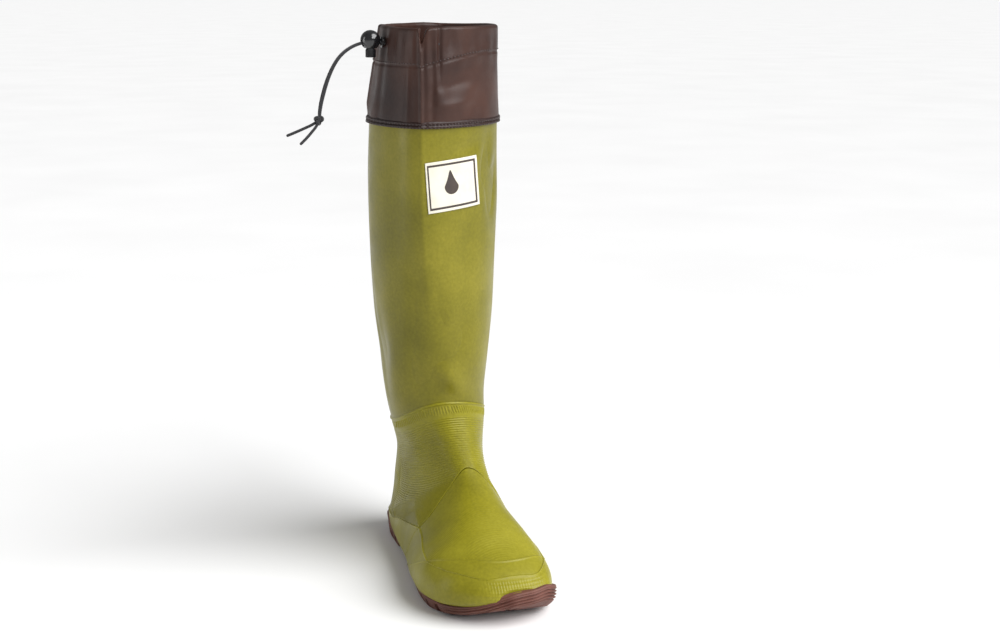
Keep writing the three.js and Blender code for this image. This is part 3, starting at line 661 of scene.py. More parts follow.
def closed_cord(line, name, diameter, sides=16):
    """A cord that closes on itself."""
    tangent = np.roll(line, -1, 0) - np.roll(line, 1, 0)
    tangent /= np.linalg.norm(tangent, axis=1, keepdims=True)
    b = np.cross(tangent, line - line.mean(0))
    b /= np.linalg.norm(b, axis=1, keepdims=True)
    turn = full_turn(sides)
    radius = braid_radius(diameter, turn, np.arange(len(line))[:, None] * 0.35, 2)
    rings = round_line(line, np.cross(b, tangent), b, radius, turn)
    return new_object(name, rings.reshape(-1, 3), grid_faces(len(line), sides, round_rows=True))


knot = closed_cord(knot_line(150), "knot_of_cord", CORD * 0.98)
dress(knot, CORD_BLACK, "leg", "cord", "drawcord_knot")

for sign, side in ((1, "front"), (-1, "rear")):
    route = [(LOCK_X + x, LOCK_Y - sign * spread, CORD_UP + z) for x, z, spread in STRAND]
    route += [(KNOT[0] + x, LOCK_Y - sign * (1.5 + i), KNOT[2] + z) for i, (x, z) in enumerate(TAILS[sign])]
    line, length = spline(route, 420)
    strand = braided(line, f"cord_{side}")
    dress(strand, CORD_BLACK, "leg", "cord", f"drawcord_{side}", f"drawcord_tail_{side}")

# ---------- unevenness of the skin ----------
def dents(t, phi, table):
    """Soft hollows and folds: ring, degrees, length in rings, width in degrees, tilt, depth in mm."""
    total = np.zeros_like(t)
    for at, degrees, long, wide, tilt, depth in table:
        a = np.degrees(angle_from(phi, math.radians(degrees)))
        b = t - at
        turn = math.radians(tilt)
        u = b / long * math.cos(turn) + a / wide * math.sin(turn)
        v = -b / long * math.sin(turn) + a / wide * math.cos(turn)
        total += depth * np.exp(-(u * u) * 0.5 - (v * v) * 2.0)
    return total


def soft_waves(t, phi, seed, size):
    """Low, even unevenness of hand-laid rubber."""
    rng = np.random.default_rng(seed)
    total = np.zeros_like(t)
    for _ in range(9):
        around = rng.integers(1, 6)
        along = rng.uniform(0.3, 1.6)
        total += np.sin(around * phi + along * t * 2.2 + rng.uniform(0, 6.28))
    return total / 9 * size


# ---------- shaft ----------
SHAFT_TOP = 0.8
SHAFT_DENTS = [
    (4.9, 22, 0.9, 16, 38, 1.6),
    (5.45, -8, 0.45, 20, -32, -2.2),
    (5.1, 14, 0.35, 12, 40, 2.4),
    (4.55, -24, 0.4, 16, 38, 1.8),
    (1.9, -78, 0.35, 9, 30, 2.0),
    (1.2, -48, 0.18, 14, 55, 1.0),
    (5.2, 2, 0.7, 12, 35, 1.2),
    (4.2, -10, 0.8, 14, 30, 1.1),
    (3.6, 14, 0.7, 15, -35, 0.8),
    (1.5, -66, 0.35, 9, 20, 1.6),
    (2.0, -72, 0.4, 8, -25, 1.4),
    (2.8, -45, 0.8, 16, 30, 0.8),
    (3.2, 80, 1.6, 8, 4, 1.1),
    (4.8, 70, 0.8, 14, 25, 1.2),
    (5.6, 110, 0.5, 20, -20, 1.2),
    (5.4, -120, 0.6, 22, 15, 1.3),
    (4.3, 170, 0.9, 20, 25, 1.2),
    (2.6, 150, 1.0, 18, -20, 0.9),
]


def shaft_relief(t, phi, down, across):
    """The front crease and one at the side, which fade down the leg, and the dents."""
    fold = 0.8 * bell(angle_from(phi, 0), 0.08) * (1 - smooth((t - 2.2) / 1.6))
    side = 0.8 * bell(angle_from(phi, math.radians(98)), 0.09) * (1 - smooth((t - 2.2) / 1.5))
    return fold + side - 1.5 * dents(t, phi, SHAFT_DENTS) + soft_waves(t, phi, 3, 0.6)


shaft = panel(
    "shaft_skin", level(SHAFT_TOP), lambda p: panel_top(p) - SHAFT_GAP, 0, TURN, (360, 260),
    relief=shaft_relief, roll=(0.3, 0.12, 0), closed=True,
)
dress(shaft, OLIVE, "leg", "olive", "shaft")

# ---------- ankle panel ----------
RIB = 2.0
UPRIGHT_RIB = 2.4
UPRIGHT_BAND = 12
ANKLE_DENTS = [(7.6, 40, 0.8, 20, 20, -0.8), (8.2, -50, 0.8, 20, -20, -0.8), (7.8, 170, 0.8, 25, 0, -0.8)]


def ankle_relief(t, phi, down, across):
    """A rolled top edge, a band of upright ribs, and level ribs below it."""
    lip = 0.8 * bell(down - 1.2, 0.9)
    below = smooth((down - 3) / 1.0)
    band = smooth((UPRIGHT_BAND - down) / 3)
    front = 1 - smooth((np.abs(angle_from(phi, 0)) - 1.5) / 0.3)
    upright = 0.28 * np.cos(across * TURN / UPRIGHT_RIB) * below * band * front
    level = 0.27 * np.cos(down * TURN / RIB) * smooth((down - UPRIGHT_BAND) / 4)
    return lip + upright + level + dents(t, phi, ANKLE_DENTS)


ankle = panel(
    "ankle_skin", panel_top, panel_low, 0, TURN, (420, 400), outer=-0.2, relief=ankle_relief,
    roll=(0.3, 0.6, 0), closed=True,
)
dress(ankle, OLIVE_FOOT, None, "olive_ribbed", "ankle_panel")
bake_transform(ankle)

# ---------- vamp, toe cap, toe guard and foxings ----------
BOND_LINE = 1.5
BOND_WIDTH = 1.0
FINE_RIB = 2.4


def bonded_edge(distance):
    """The raised line where one layer of rubber laps over the next."""
    return 0.5 * bell(distance - BOND_LINE, BOND_WIDTH)


def vamp_relief(t, phi, down, across):
    """Fine level ribs, which fade in down the vamp."""
    fine = 0.08 * np.cos(down * TURN / FINE_RIB) * smooth((down - 30) / 30)
    return soft_waves(t, phi, 5, 0.25) + fine


vamp = panel(
    "vamp_skin", lambda p: vamp_seam(p) + ARCH_GAP, cap_seam, -SEAM_SIDE, SEAM_SIDE, (240, 240),
    relief=vamp_relief, roll=(0.5, 0.1, 0.1),
)
dress(vamp, OLIVE_FOOT, "foot", "olive", "vamp")

CAP_MEDIAL = math.radians(-58)
CAP_LATERAL = math.radians(62.8)
toe_cap = panel(
    "toe_cap_skin", lambda p: cap_seam(p) - LAP, guard_seam, CAP_MEDIAL, CAP_LATERAL, (180, 60),
    outer=-0.25, relief=lambda t, phi, down, across: bonded_edge(down), roll=0.25,
)
dress(toe_cap, OLIVE_FOOT, "foot", "olive", "toe_cap")

DIAMOND = 2.2


def guard_relief(t, phi, down, across):
    """A raised top edge, and small diamonds over the front of the toe."""
    spot = surface(t, phi)
    wide, high = spot[..., 0], spot[..., 2]
    front = smooth((34 - np.abs(wide - 11)) / 16) * smooth((down - 3) / 4)
    front = front * smooth((TOE_TIP - 0.5 - t) / 0.4)
    diamonds = 0.16 * np.cos((wide + high) * math.pi / DIAMOND) * np.cos((wide - high) * math.pi / DIAMOND)
    tucked = 1.9 * smooth((t - 19.0) / 0.6)
    return bonded_edge(down) + diamonds * front - tucked


toe_guard = panel(
    "toe_guard_skin", lambda p: guard_seam(p) - LAP, level(TOE_TIP - 0.2), -SIDE_LOW, SIDE_LOW,
    (480, 130), outer=-0.45, relief=guard_relief, roll=0.4,
)
dress(toe_guard, OLIVE_FOOT, "foot", "olive", "toe_guard")

for name, sign in (("lateral", 1), ("medial", -1)):
    foxing = panel(
        f"side_foxing_{name}_skin", lambda p: heel_front(p) + SEAM_GAP / 2, lambda p: guard_rear(p) + LAP,
        sign * (SEAM_SIDE - 0.012), sign * SIDE_LOW, (90, 90), outer=-0.35,
        relief=lambda t, phi, down, across: bonded_edge(across), roll=(0.6, 0.2, 0.35),
    )
    dress(foxing, OLIVE_FOOT, "foot", "olive", f"side_foxing_{name}")

HEEL_EDGE = SEAM_SIDE + 0.01
heel = panel(
    "heel_foxing_skin",
    lambda p: heel_seam(wrapped(p)) - LAP, lambda p: heel_under(wrapped(p)) - SEAM_GAP / 2,
    HEEL_EDGE, TURN - HEEL_EDGE, (260, 80), outer=-0.35,
    relief=lambda t, phi, down, across: bonded_edge(down), roll=(0.35, 0.6, 0.2),
)
dress(heel, OLIVE_FOOT, "foot", "olive", "heel_foxing")

# ---------- outsole ----------
SOLE_POINTS = 760
SOLE_SMOOTH = 4
HEEL_END = 70
TREAD_DEPTH = 3.0
LUG_PITCH = 13.0
LUG_GAP = 0.15
LUG_DEPTH = 2.6
LUG_RISE = 7.5
SIDE_ROWS = 80
TOE_ARC = 2.6
SPINE_SIDE = 4
SPINE_FROM = 152
BOTTOM_ROLL = 0.8


def sole_outline():
    """Even points round the sole: side, forward, underside, top edge, inset and centre line, by column."""
    at = np.linspace(0, SOLE_LENGTH, 900)
    row = np.interp(at, SOLE_STATIONS[:, 0], np.arange(len(SOLE_STATIONS)))
    _, lateral, medial, centre, low, top, rise, inset = monotone(SOLE_STATIONS, row).T
    outer = np.stack([centre - lateral, at, low, top, inset, centre], 1)
    inner = np.stack([centre + medial, at, low, top + rise, inset, centre], 1)[::-1]
    loop = np.concatenate([outer, inner, outer[:1]])
    run = arc_length(loop[:, :2])
    even = np.linspace(0, run[-1], SOLE_POINTS, endpoint=False)
    loop = np.stack([np.interp(even, run, loop[:, k]) for k in range(6)], 1)
    near = range(-SOLE_SMOOTH, SOLE_SMOOTH + 1)
    smoothed = sum(np.roll(loop, k, axis=0) for k in near) / len(near)
    smoothed[:, 2] = loop[:, 2]
    return smoothed


def lugs(side, at):
    """1 in the gaps between the tread's lugs, 0 on the lugs and under the arch."""
    bent = at + 0.3 * np.abs(side - SPINE_SIDE)
    share = np.mod(bent / LUG_PITCH, 1)
    bars = smooth((LUG_GAP - np.abs(share - 0.5)) / 0.05)
    arch = smooth((at - HEEL_END) / 4) * smooth((150 - at) / 6)
    spine = smooth((2.2 - np.abs(side - SPINE_SIDE)) / 0.8) * (at > SPINE_FROM)
    return np.maximum(bars, spine) * (1 - arch) * smooth((262 - at) / 6)


def upper_seat(points):
    """The nearest points a little inside the upper's skin, where the sole's ledge is glued on."""
    t, phi = np.meshgrid(np.linspace(9.5, TOE_TIP, 240), np.linspace(0, TURN, 241), indexing="ij")
    grid = skin(t, phi, 0.7 + 0 * t)
    tree = BVHTree.FromPolygons(grid.reshape(-1, 3).tolist(), grid_faces(*t.shape, closed=False).tolist())
    return np.array([tree.find_nearest(Vector(p))[0] for p in points])


def outsole_points():
    """The sole's points by column: the ledge, the side with its lip, arcs and lugs, and the tread."""
    side, at, low, top, inset, centre = sole_outline().T
    ahead = np.stack([np.roll(side, -1) - np.roll(side, 1), np.roll(at, -1) - np.roll(at, 1)], 1)
    ahead /= np.linalg.norm(ahead, axis=1, keepdims=True)
    out = np.stack([-ahead[:, 1], ahead[:, 0]], 1)
    rings = []

    def ring(inward_by, up):
        rings.append(place(side - out[:, 0] * inward_by, at - out[:, 1] * inward_by, up))

    toe = smooth((at - 222) / 25)
    edge = place(side, at, top)
    seat = upper_seat(edge + np.stack([-out[:, 0] * 3, out[:, 1] * 3, 1.5 + 0 * at], 1))
    for w in (1.0, 0.75, 0.5, 0.28, 0.12):
        rings.append(edge + (seat - edge) * w - np.array([0, 0, 1.2 * w * (1 - w)]))
    for inward_by, drop in ((0.5, 0), (0.15, 0.2)):
        ring(inward_by, top - drop)
    for w in np.linspace(0, 1, SIDE_ROWS):
        up = top - 0.7 + (low + 1.4 - top) * w
        below = top - up
        lip = 0.4 * bell(below - 1.2, 0.8)
        arcs = toe * 0.8 * np.cos(below * TURN / TOE_ARC) * smooth((below - 1.4) / 0.8)
        gap = LUG_DEPTH * lugs(side, at) * smooth((LUG_RISE - (up - low)) / 2) * (1 - toe)
        ring(inset * w ** (1.6 + 2.4 * toe) - lip - arcs * smooth((14 - below) / 3) + gap, up)
    ring(inset + 0.25, low + 0.25)
    ring(inset + BOTTOM_ROLL, low)
    edge_side = side - out[:, 0] * (inset + BOTTOM_ROLL)
    edge_at = at - out[:, 1] * (inset + BOTTOM_ROLL)
    for w in np.linspace(0, 1, 44)[1:]:
        across = edge_side + (centre - edge_side) * w
        rings.append(place(across, edge_at, low + TREAD_DEPTH * lugs(across, edge_at) * smooth(w * 30)))
    return np.stack(rings, 1)


sole = outsole_points()
outsole = new_object("outsole_gum", sole.reshape(-1, 3), grid_faces(*sole.shape[:2], flip=True), sharp=50)
dress(outsole, GUM, "foot", "gum", "outsole")

# ---------- cuff, binding and their stitches ----------
WRAP_OUT = -0.4
CLOTH_OUT = WRAP_OUT - 1.0
CUFF_RING = 0.85
HEM_IN = 4.4
HEM_MIDDLE = (CLOTH_OUT + HEM_IN) / 2
HEM_HALF = (HEM_IN - CLOTH_OUT) / 2
RIM_BEND = 0.03
HEM_RING = 0.34
HEM_RISE = 0.1
NOTCH = 0.125
CUFF_FOLDS = [
    (0.2, -21, 0.16, 3, 4, 1.3),
    (0.45, -40, 0.16, 12, 52, 1.4),
    (0.62, -22, 0.14, 11, -38, -1.2),
    (0.5, -34, 0.05, 16, 58, 0.5),
    (0.68, -30, 0.05, 16, 62, -0.5),
    (0.15, -30, 0.1, 6, 20, 1.2),
    (0.72, -52, 0.14, 11, 30, 1.1),
    (0.5, -14, 0.25, 5, 12, 1.0),
    (0.28, -48, 0.1, 12, 70, -0.9),
    (0.5, 18, 0.5, 5, 6, -0.6),
    (0.4, 55, 0.35, 7, -14, 0.8),
    (0.66, 72, 0.2, 9, 30, 1.0),
    (0.4, 130, 0.35, 12, 14, 1.3),
    (0.55, 175, 0.4, 9, -16, 1.5),
    (0.35, -140, 0.35, 11, 22, 1.4),
    (0.6, -100, 0.3, 10, -24, 1.4),
]


def hem_line(phi):
    """The ring of the hem's seam. It climbs on the inner side of the leg."""
    turned = angle_from(phi, 0)
    return HEM_RING - HEM_RISE * smooth(-turned / 1.1) * smooth(turned + 3.0)


def cuff_relief(t, phi):
    """How far the cloth stands out: the front crease, hanging folds, and gathers under the cord."""
    crease = 1.6 * bell(angle_from(phi, 0), 0.045) * smooth((t - 0.02) / 0.1)
    side = 2.0 * bell(angle_from(phi, math.radians(86)), 0.06) * (1 - smooth((t - 0.7) / 0.15))
    gathers = 0.35 * np.sin(31 * phi + 2.0 * np.sin(3 * phi)) * bell(t - 0.2, 0.16)
    seam = -0.6 * bell(t - hem_line(phi), 0.009)
    flare = 0.3 * smooth((t - 0.6) / 0.25)
    return crease + side + gathers + seam + flare - 1.5 * dents(t, phi, CUFF_FOLDS)


def cuff_place(t, phi, depth):
    """A point of the cuff. Its rim dips into a notch at the front crease."""
    turned = angle_from(phi, 0)
    notch = NOTCH * bell(turned, np.where(turned > 0, 0.03, 0.1)) * (1 - smooth(t / 0.45))
    uneven = 0.012 * np.sin(2 * phi + 1.0) * (1 - smooth(t / 0.3))
    return skin(t + notch + np.maximum(uneven, 0), phi, depth - cuff_relief(t, phi))


def cuff_profile():
    """The cuff's section, as ring numbers and depths: outside, over the rim, the hem, and back inside."""
    outside = [(t, CLOTH_OUT) for t in np.linspace(CUFF_RING, RIM_BEND, 70)]
    rim = np.linspace(0, math.pi, 13)[1:-1]
    bend = [(RIM_BEND * (1 - math.sin(a)), HEM_MIDDLE - HEM_HALF * math.cos(a)) for a in rim]
    hem = [(t, HEM_IN) for t in np.linspace(RIM_BEND, HEM_RING, 26)]
    edge = [(HEM_RING + 0.006, HEM_IN - 0.3), (HEM_RING + 0.006, HEM_IN - 0.8)]
    back = [(t, HEM_IN - 1) for t in np.linspace(HEM_RING, 0.07, 16)]
    inside = [(0.045, HEM_MIDDLE)] + [(t, WRAP_OUT) for t in np.linspace(0.07, CUFF_RING, 44)]
    return np.array(outside + bend + hem + edge + back + inside)


CUFF_COLUMNS = 540
profile = cuff_profile()
phi, t = np.meshgrid(full_turn(CUFF_COLUMNS), profile[:, 0], indexing="ij")
cuff_points = cuff_place(t, phi, np.broadcast_to(profile[:, 1], t.shape))
section = np.concatenate([[0], np.cumsum(np.abs(np.diff(profile, axis=0)) @ (84, 1))])
cuff_uv = np.stack(np.broadcast_arrays(phi * 62, section[None, :]), -1).reshape(-1, 2)
cuff_faces = grid_faces(*t.shape, flip=True, round_rows=True)
cuff = new_object("cuff_cloth", cuff_points.reshape(-1, 3), cuff_faces, cuff_uv, sharp=60)
dress(cuff, CUFF_CLOTH, "leg", "cuff_cloth", "cuff")

BINDING_TOP = CUFF_RING - 0.012
BINDING_LOW = CUFF_RING + 0.07
BINDING_THICK = 0.35
STITCH = 2.1
THREAD_HALF = 0.42


def binding_relief(t, phi, down, across):
    """Two rolls with a groove between them, the front crease, and a fine gather."""
    rolls = 0.45 * bell(down - 1.6, 0.9) + 0.55 * bell(down - 4.9, 1.2)
    grooves = -0.3 * bell(down - 3.1, 0.35)
    crease = 1.2 * bell(angle_from(phi, 0), 0.05)
    return rolls + grooves + crease + 0.25 + 0.1 * np.sin(70 * phi)


binding = panel(
    "cuff_binding_band", level(BINDING_TOP), level(BINDING_LOW), 0, TURN,
    (420, 34), outer=CLOTH_OUT - BINDING_THICK, inner=WRAP_OUT, relief=binding_relief, roll=0.6, closed=True,
)
dress(binding, BINDING_CLOTH, "leg", "cuff_cloth", "cuff_binding")


def stitch_row(name, ring_at, depth_at, pitch, sides=7):
    """A row of short thread capsules round the leg, each following the cloth under it."""
    dense = np.linspace(0, TURN, 2400)
    run = arc_length(depth_at(ring_at(dense), dense))
    count = int(run[-1] // pitch)
    shares = np.array([0, 0.12, 0.35, 0.65, 0.88, 1.0])
    widths = np.array([0.2, 0.75, 1, 1, 0.75, 0.2])[:, None] * THREAD_HALF
    lifts = np.array([-0.35, 0.05, 0.3, 0.3, 0.05, -0.35])[:, None]
    rings, faces = [], []
    for stitch in range(count):
        at = np.interp(stitch * run[-1] / count + shares * STITCH, run, dense)
        middle = depth_at(ring_at(at), at)
        away = -inward(ring_at(at), at)
        along = np.gradient(middle, axis=0)
        along /= np.linalg.norm(along, axis=1, keepdims=True)
        across = np.cross(along, away)
        rings.append(round_line(middle + away * lifts, away * 0.8, across, widths, full_turn(sides)))
        faces += tube_faces(len(shares), sides, stitch * len(shares) * sides)
    obj = new_object(name, np.concatenate(rings).reshape(-1, 3), faces)
    return dress(obj, THREAD, "leg", "cuff_cloth")


def on_cuff(t, phi):
    return cuff_place(t, phi, CLOTH_OUT + 0 * t)


def on_binding(t, phi):
    return skin(t, phi, CLOTH_OUT - BINDING_THICK - 0.3 - 1.2 * bell(angle_from(phi, 0), 0.05))


stitch_row("hem_stitches", lambda p: hem_line(p) - 0.018, on_cuff, 3.2)
stitch_row("binding_stitches_upper", level(BINDING_TOP + 0.034), on_binding, 3.0)
stitch_row("binding_stitches_lower", level(BINDING_TOP + 0.072), on_binding, 3.0)

# ---------- label ----------
LABEL_FROM = math.radians(-54)
LABEL_TO = math.radians(-4)
LABEL_LEAN = math.radians(3.5)
LABEL_TOP = 1.33
LABEL_LOW = 2.21
LABEL_TILT = 0.085
LABEL_THICK = 0.5
LABEL_ROLL = 0.4


def label_place(across, down, depth):
    """A point of the label, from shares across and down it."""
    t = LABEL_TOP + (LABEL_LOW - LABEL_TOP) * down + LABEL_TILT * across
    phi = LABEL_FROM + (LABEL_TO - LABEL_FROM) * across - LABEL_LEAN * down
    lift = np.maximum(shaft_relief(t, phi, 0, 0), -0.3)
    return skin(t, phi, depth - lift)


def label_span(start, end):
    """Distance over the label between two points given as shares across and down."""
    ends = [label_place(np.array(a), np.array(d), 0) for a, d in (start, end)]
    return np.linalg.norm(ends[1] - ends[0])


LABEL_WIDE = label_span((0.0, 0.5), (1.0, 0.5))
LABEL_HIGH = label_span((0.5, 0.0), (0.5, 1.0))
across, down = np.meshgrid(spaced(70, 0.008), spaced(84, 0.007), indexing="ij")
x, y = across * LABEL_WIDE, down * LABEL_HIGH
edge = np.minimum(np.minimum(x - x[:1], x[-1:] - x), np.minimum(y - y[:, :1], y[:, -1:] - y))
label_layers = [
    label_place(across, down, WRAP_OUT - LABEL_THICK + edge_drop(edge, LABEL_ROLL)),
    label_place(across, down, WRAP_OUT + 0 * across),
]
label = new_object("label_face", np.reshape(label_layers, (-1, 3)), slab_faces(*across.shape, closed=False))
dress(label, CREAM, "leg", "label_face", "label_patch")

PRINT_OUT = WRAP_OUT - LABEL_THICK - 0.12
PRINT_IN = WRAP_OUT - LABEL_THICK + 0.1
BORDER = 0.045
BORDER_LINE = 0.033


def print_layer(name, points_at, faces, *replaced):
    """Ink on the label: flat outlines given as shares across and down, with a little thickness."""
    a, d = points_at.T
    outside = label_place(a, d, PRINT_OUT + 0 * a)
    inside = label_place(a, d, PRINT_IN + 0 * a)
    count = len(points_at)
    both = faces + [[v + count for v in f[::-1]] for f in faces]
    edges = {}
    for f in faces:
        for v, w in zip(f, f[1:] + f[:1]):
            edges[(v, w)] = edges.get((v, w), 0) + 1
    for v, w in edges:
        if (w, v) not in edges:
            both.append([w, v, v + count, w + count])
    obj = new_object(name, np.concatenate([outside, inside]), both, sharp=30)
    return dress(obj, INK, "leg", "label_ink", *replaced)


def border_points():
    """A frame of quads round the label."""
    square = LABEL_WIDE / LABEL_HIGH
    steps = np.linspace(0, 1, 60, endpoint=False)[:, None]
    loops = []
    for margin in (BORDER, BORDER + BORDER_LINE):
        x0, x1, y0, y1 = margin, 1 - margin, margin * square, 1 - margin * square
        corners = np.array([(x0, y0), (x1, y0), (x1, y1), (x0, y1), (x0, y0)])
        loops += [a + (b - a) * steps for a, b in zip(corners, corners[1:])]
    count = 4 * len(steps)
    return np.concatenate(loops), grid_faces(2, count, closed=False, flip=True, round_rows=True).tolist()


DROP_RADIUS = 0.125
DROP_TIP = 0.28
DROP_AT = 0.54


def raindrop_points():
    """A plain raindrop as rings round its middle: a bowl of one radius under a point."""
    turn = full_turn(72)
    pull = np.clip(np.cos(turn), 0, 1)
    x = DROP_RADIUS * np.sin(turn) * (1 - 0.55 * pull ** 1.5)
    y = -DROP_RADIUS * np.cos(turn) - (DROP_TIP - DROP_RADIUS) * pull ** 3.2
    square = LABEL_WIDE / LABEL_HIGH
    rings = [np.stack([0.5 + x * share, DROP_AT + y * share * square], 1) for share in (0.25, 0.5, 0.75, 1.0)]
    n = len(turn)
    faces = [[0, 1 + (j + 1) % n, 1 + j] for j in range(n)]
    faces += grid_faces(len(rings), n, 1, closed=False, round_rows=True).tolist()
    return np.concatenate([[(0.5, DROP_AT)]] + rings), faces


print_layer("label_frame", *border_points(), "label_border")
print_layer("label_raindrop", *raindrop_points(), "label_motif")

# ---------- cord lock, its button and spring, and the eyelet ----------
LOCK = np.array([LOCK_X, LOCK_Y, LOCK_UP])
LOCK_RADIUS = 8.0
HOLE_LOW = -5.0
HOLE_HIGH = 0.3
HOLE_WIDE = 6.6
HOLE_LENGTH = 16
HOLE_ROUND = 1.2
LOCK_SHARP = 35
AXIS = 0.01
PLUNGER = 4.2
PLUNGER_TOP = 1.8
PLUNGER_LOW = -13.5
BORE_ROOF = 6.2
PRESS = 2.5


def lathe(name, outline, centre, sides, axis=2):
    """Turns an outline of radius and height round an axis: 2 for upright, 0 for sideways."""
    outline = np.array(outline, float)
    turn = full_turn(sides)[:, None]
    x, y, z = outline[:, 0] * np.cos(turn), outline[:, 0] * np.sin(turn), outline[:, 1] + 0 * turn
    points = np.stack([x, y, z] if axis == 2 else [-z, x, -y], -1) + centre
    faces = grid_faces(*points.shape[:2], round_rows=True)
    return new_object(name, points.reshape(-1, 3), faces, sharp=LOCK_SHARP)


def arc(centre, radius, start, end, steps):
    """Points of an arc, between two angles in degrees."""
    a = np.radians(np.linspace(start, end, steps))
    return [(centre[0] + radius * math.cos(x), centre[1] + radius * math.sin(x)) for x in a]


def cut_through(obj, low):
    """Cuts the cross hole for the strands, from that height up, with rounded corners."""
    half = np.array([HOLE_LENGTH, HOLE_WIDE / 2, (HOLE_HIGH - low) / 2])
    middle = LOCK + np.array([0, 0, (low + HOLE_HIGH) / 2])
    cutter = bmesh.new()
    bmesh.ops.create_cube(cutter, size=2)
    for v in cutter.verts:
        v.co = Vector((np.array(v.co) * half + middle) * MM)
    lengthwise = [e for e in cutter.edges if abs((e.verts[0].co - e.verts[1].co).x) > HOLE_LENGTH * MM]
    bmesh.ops.bevel(cutter, geom=lengthwise, offset=HOLE_ROUND * MM, segments=4, affect="EDGES", profile=0.5)
    mesh = bpy.data.meshes.new("cutter")
    cutter.to_mesh(mesh)
    cutter.free()
    tool = add_object("cutter", mesh)
    modifier = obj.modifiers.new("hole", "BOOLEAN")
    modifier.operation = "DIFFERENCE"
    modifier.object = tool
    modifier.solver = "EXACT"
    bpy.context.view_layer.update()
    obj.data = bpy.data.meshes.new_from_object(obj.evaluated_get(bpy.context.evaluated_depsgraph_get()))
    obj.modifiers.remove(modifier)
    bpy.data.objects.remove(tool)
    obj.data.shade_smooth()
    obj.data.set_sharp_from_angle(angle=math.radians(LOCK_SHARP))


bore = PLUNGER + 0.35
mouth = math.degrees(math.asin((bore + 0.5) / LOCK_RADIUS)) - 90
ball_outline = arc((0, 0), LOCK_RADIUS, 90, mouth, 60)
ball_outline[0] = (AXIS, LOCK_RADIUS)
lip = ball_outline[-1]
ball_outline += [(bore + 0.1, lip[1] + 0.1), (bore, lip[1] + 0.5), (bore, BORE_ROOF), (AXIS, BORE_ROOF)]
ball = lathe("lock_ball", ball_outline, LOCK, 96)
cut_through(ball, HOLE_LOW)
dress(ball, GLOSS_BLACK, "cord_lock", "lock_gloss", "cord_lock_body")

plunger_outline = [(AXIS, PLUNGER_TOP), (PLUNGER - 0.4, PLUNGER_TOP), (PLUNGER, PLUNGER_TOP - 0.4),
                   (PLUNGER, -7.2)]
for k in range(7):
    z = -7.4 - k * 0.75
    groove = PLUNGER - 0.28
    plunger_outline += [(PLUNGER, z), (PLUNGER, z - 0.4), (groove, z - 0.5), (groove, z - 0.65)]
plunger_outline += [(PLUNGER, PLUNGER_LOW + 0.7)] + arc((PLUNGER - 0.7, PLUNGER_LOW + 0.7), 0.7, 0, -90, 5)
plunger_outline += [(1.9, PLUNGER_LOW), (1.5, PLUNGER_LOW + 0.35), (AXIS, PLUNGER_LOW + 0.35)]
plunger = lathe("lock_button", plunger_outline, LOCK, 72)
cut_through(plunger, HOLE_LOW - PRESS)
dress(plunger, MATT_BLACK, "cord_plunger", "lock_matte", "cord_lock_plunger")

SPRING_LOW = PLUNGER_TOP + 0.4
SPRING_HIGH = BORE_ROOF - 0.4
SPRING_TURNS = 4.5
SPRING_RADIUS = 2.6
WIRE = 0.35
turn = np.linspace(0, TURN * SPRING_TURNS, 220)
rise = smooth((np.linspace(0, 1, len(turn)) - 0.12) / 0.76)
coil = np.stack([SPRING_RADIUS * np.cos(turn), SPRING_RADIUS * np.sin(turn),
                 SPRING_LOW + WIRE + (SPRING_HIGH - SPRING_LOW - 2 * WIRE) * rise], 1)
spring = ring_tube(round_line(coil, *frames(coil), WIRE, full_turn(10)) + LOCK, "lock_spring_wire")
dress(spring, STEEL, "cord_lock", "spring_steel", "cord_lock_spring")
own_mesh(spring)

EYELET_BORE = STRAND_SPREAD + CORD / 2 + 0.25
EYELET_BARREL = EYELET_BORE + 0.5
FLANGE = EYELET_BARREL + 1.2
eyelet_outline = [(EYELET_BORE, -2.4), (EYELET_BARREL, -2.4), (EYELET_BARREL, 0.3), (FLANGE - 0.2, 0.3)]
eyelet_outline += arc((FLANGE - 0.35, 0.65), 0.35, -60, 90, 8)
eyelet_outline += arc((EYELET_BORE + 0.6, 0.6), 0.6, 80, 180, 8)
eyelet = lathe("cord_eyelet", eyelet_outline, np.array([CUFF_X - 0.5, LOCK_Y, CORD_UP]), 48, axis=0)
dress(eyelet, EYELET_PAINT, "leg", "eyelet_metal", "eyelet")

# ---------- linings, footbed and hidden parts ----------
LINING_OUT = RUBBER + 0.8
LINING_IN = LINING_OUT + 1.0
LINING_LEG = 6.1
LINING_SPLIT = 9.32
FOOT_LINING_END = 18.3


def sleeve(name, top, low, size, sink=0, closed_toe=False):
    """A sleeve of lining cloth with soft unevenness inside. sink puts it that much deeper."""
    columns, rows = size
    phi, t = np.meshgrid(full_turn(columns), np.linspace(top, low, rows), indexing="ij")
    outside = skin(t, phi, LINING_OUT + sink + 0 * t)
    inside = skin(t, phi, LINING_IN + sink + 0.25 * np.sin(5 * phi + 3 * t) * np.sin(4 * t))
    points = np.concatenate([outside.reshape(-1, 3), inside.reshape(-1, 3)])
    uv = np.stack([phi * 50, t * 14], -1).reshape(-1, 2)
    uv = np.concatenate([uv, uv])
    faces = slab_faces(columns, rows, True, low_end=not closed_toe).tolist()
    if closed_toe:
        tip = len(points)
        points = np.concatenate([points, [outside[:, -1].mean(0), inside[:, -1].mean(0)]])
        uv = np.concatenate([uv, uv[:2]])
        here = np.arange(1, columns + 1) * rows - 1
        for a, b in zip(here.tolist(), np.roll(here, -1).tolist()):
            faces += [[b, tip, a], [a + tip // 2, tip + 1, b + tip // 2]]
    return new_object(name, points, faces, uv)


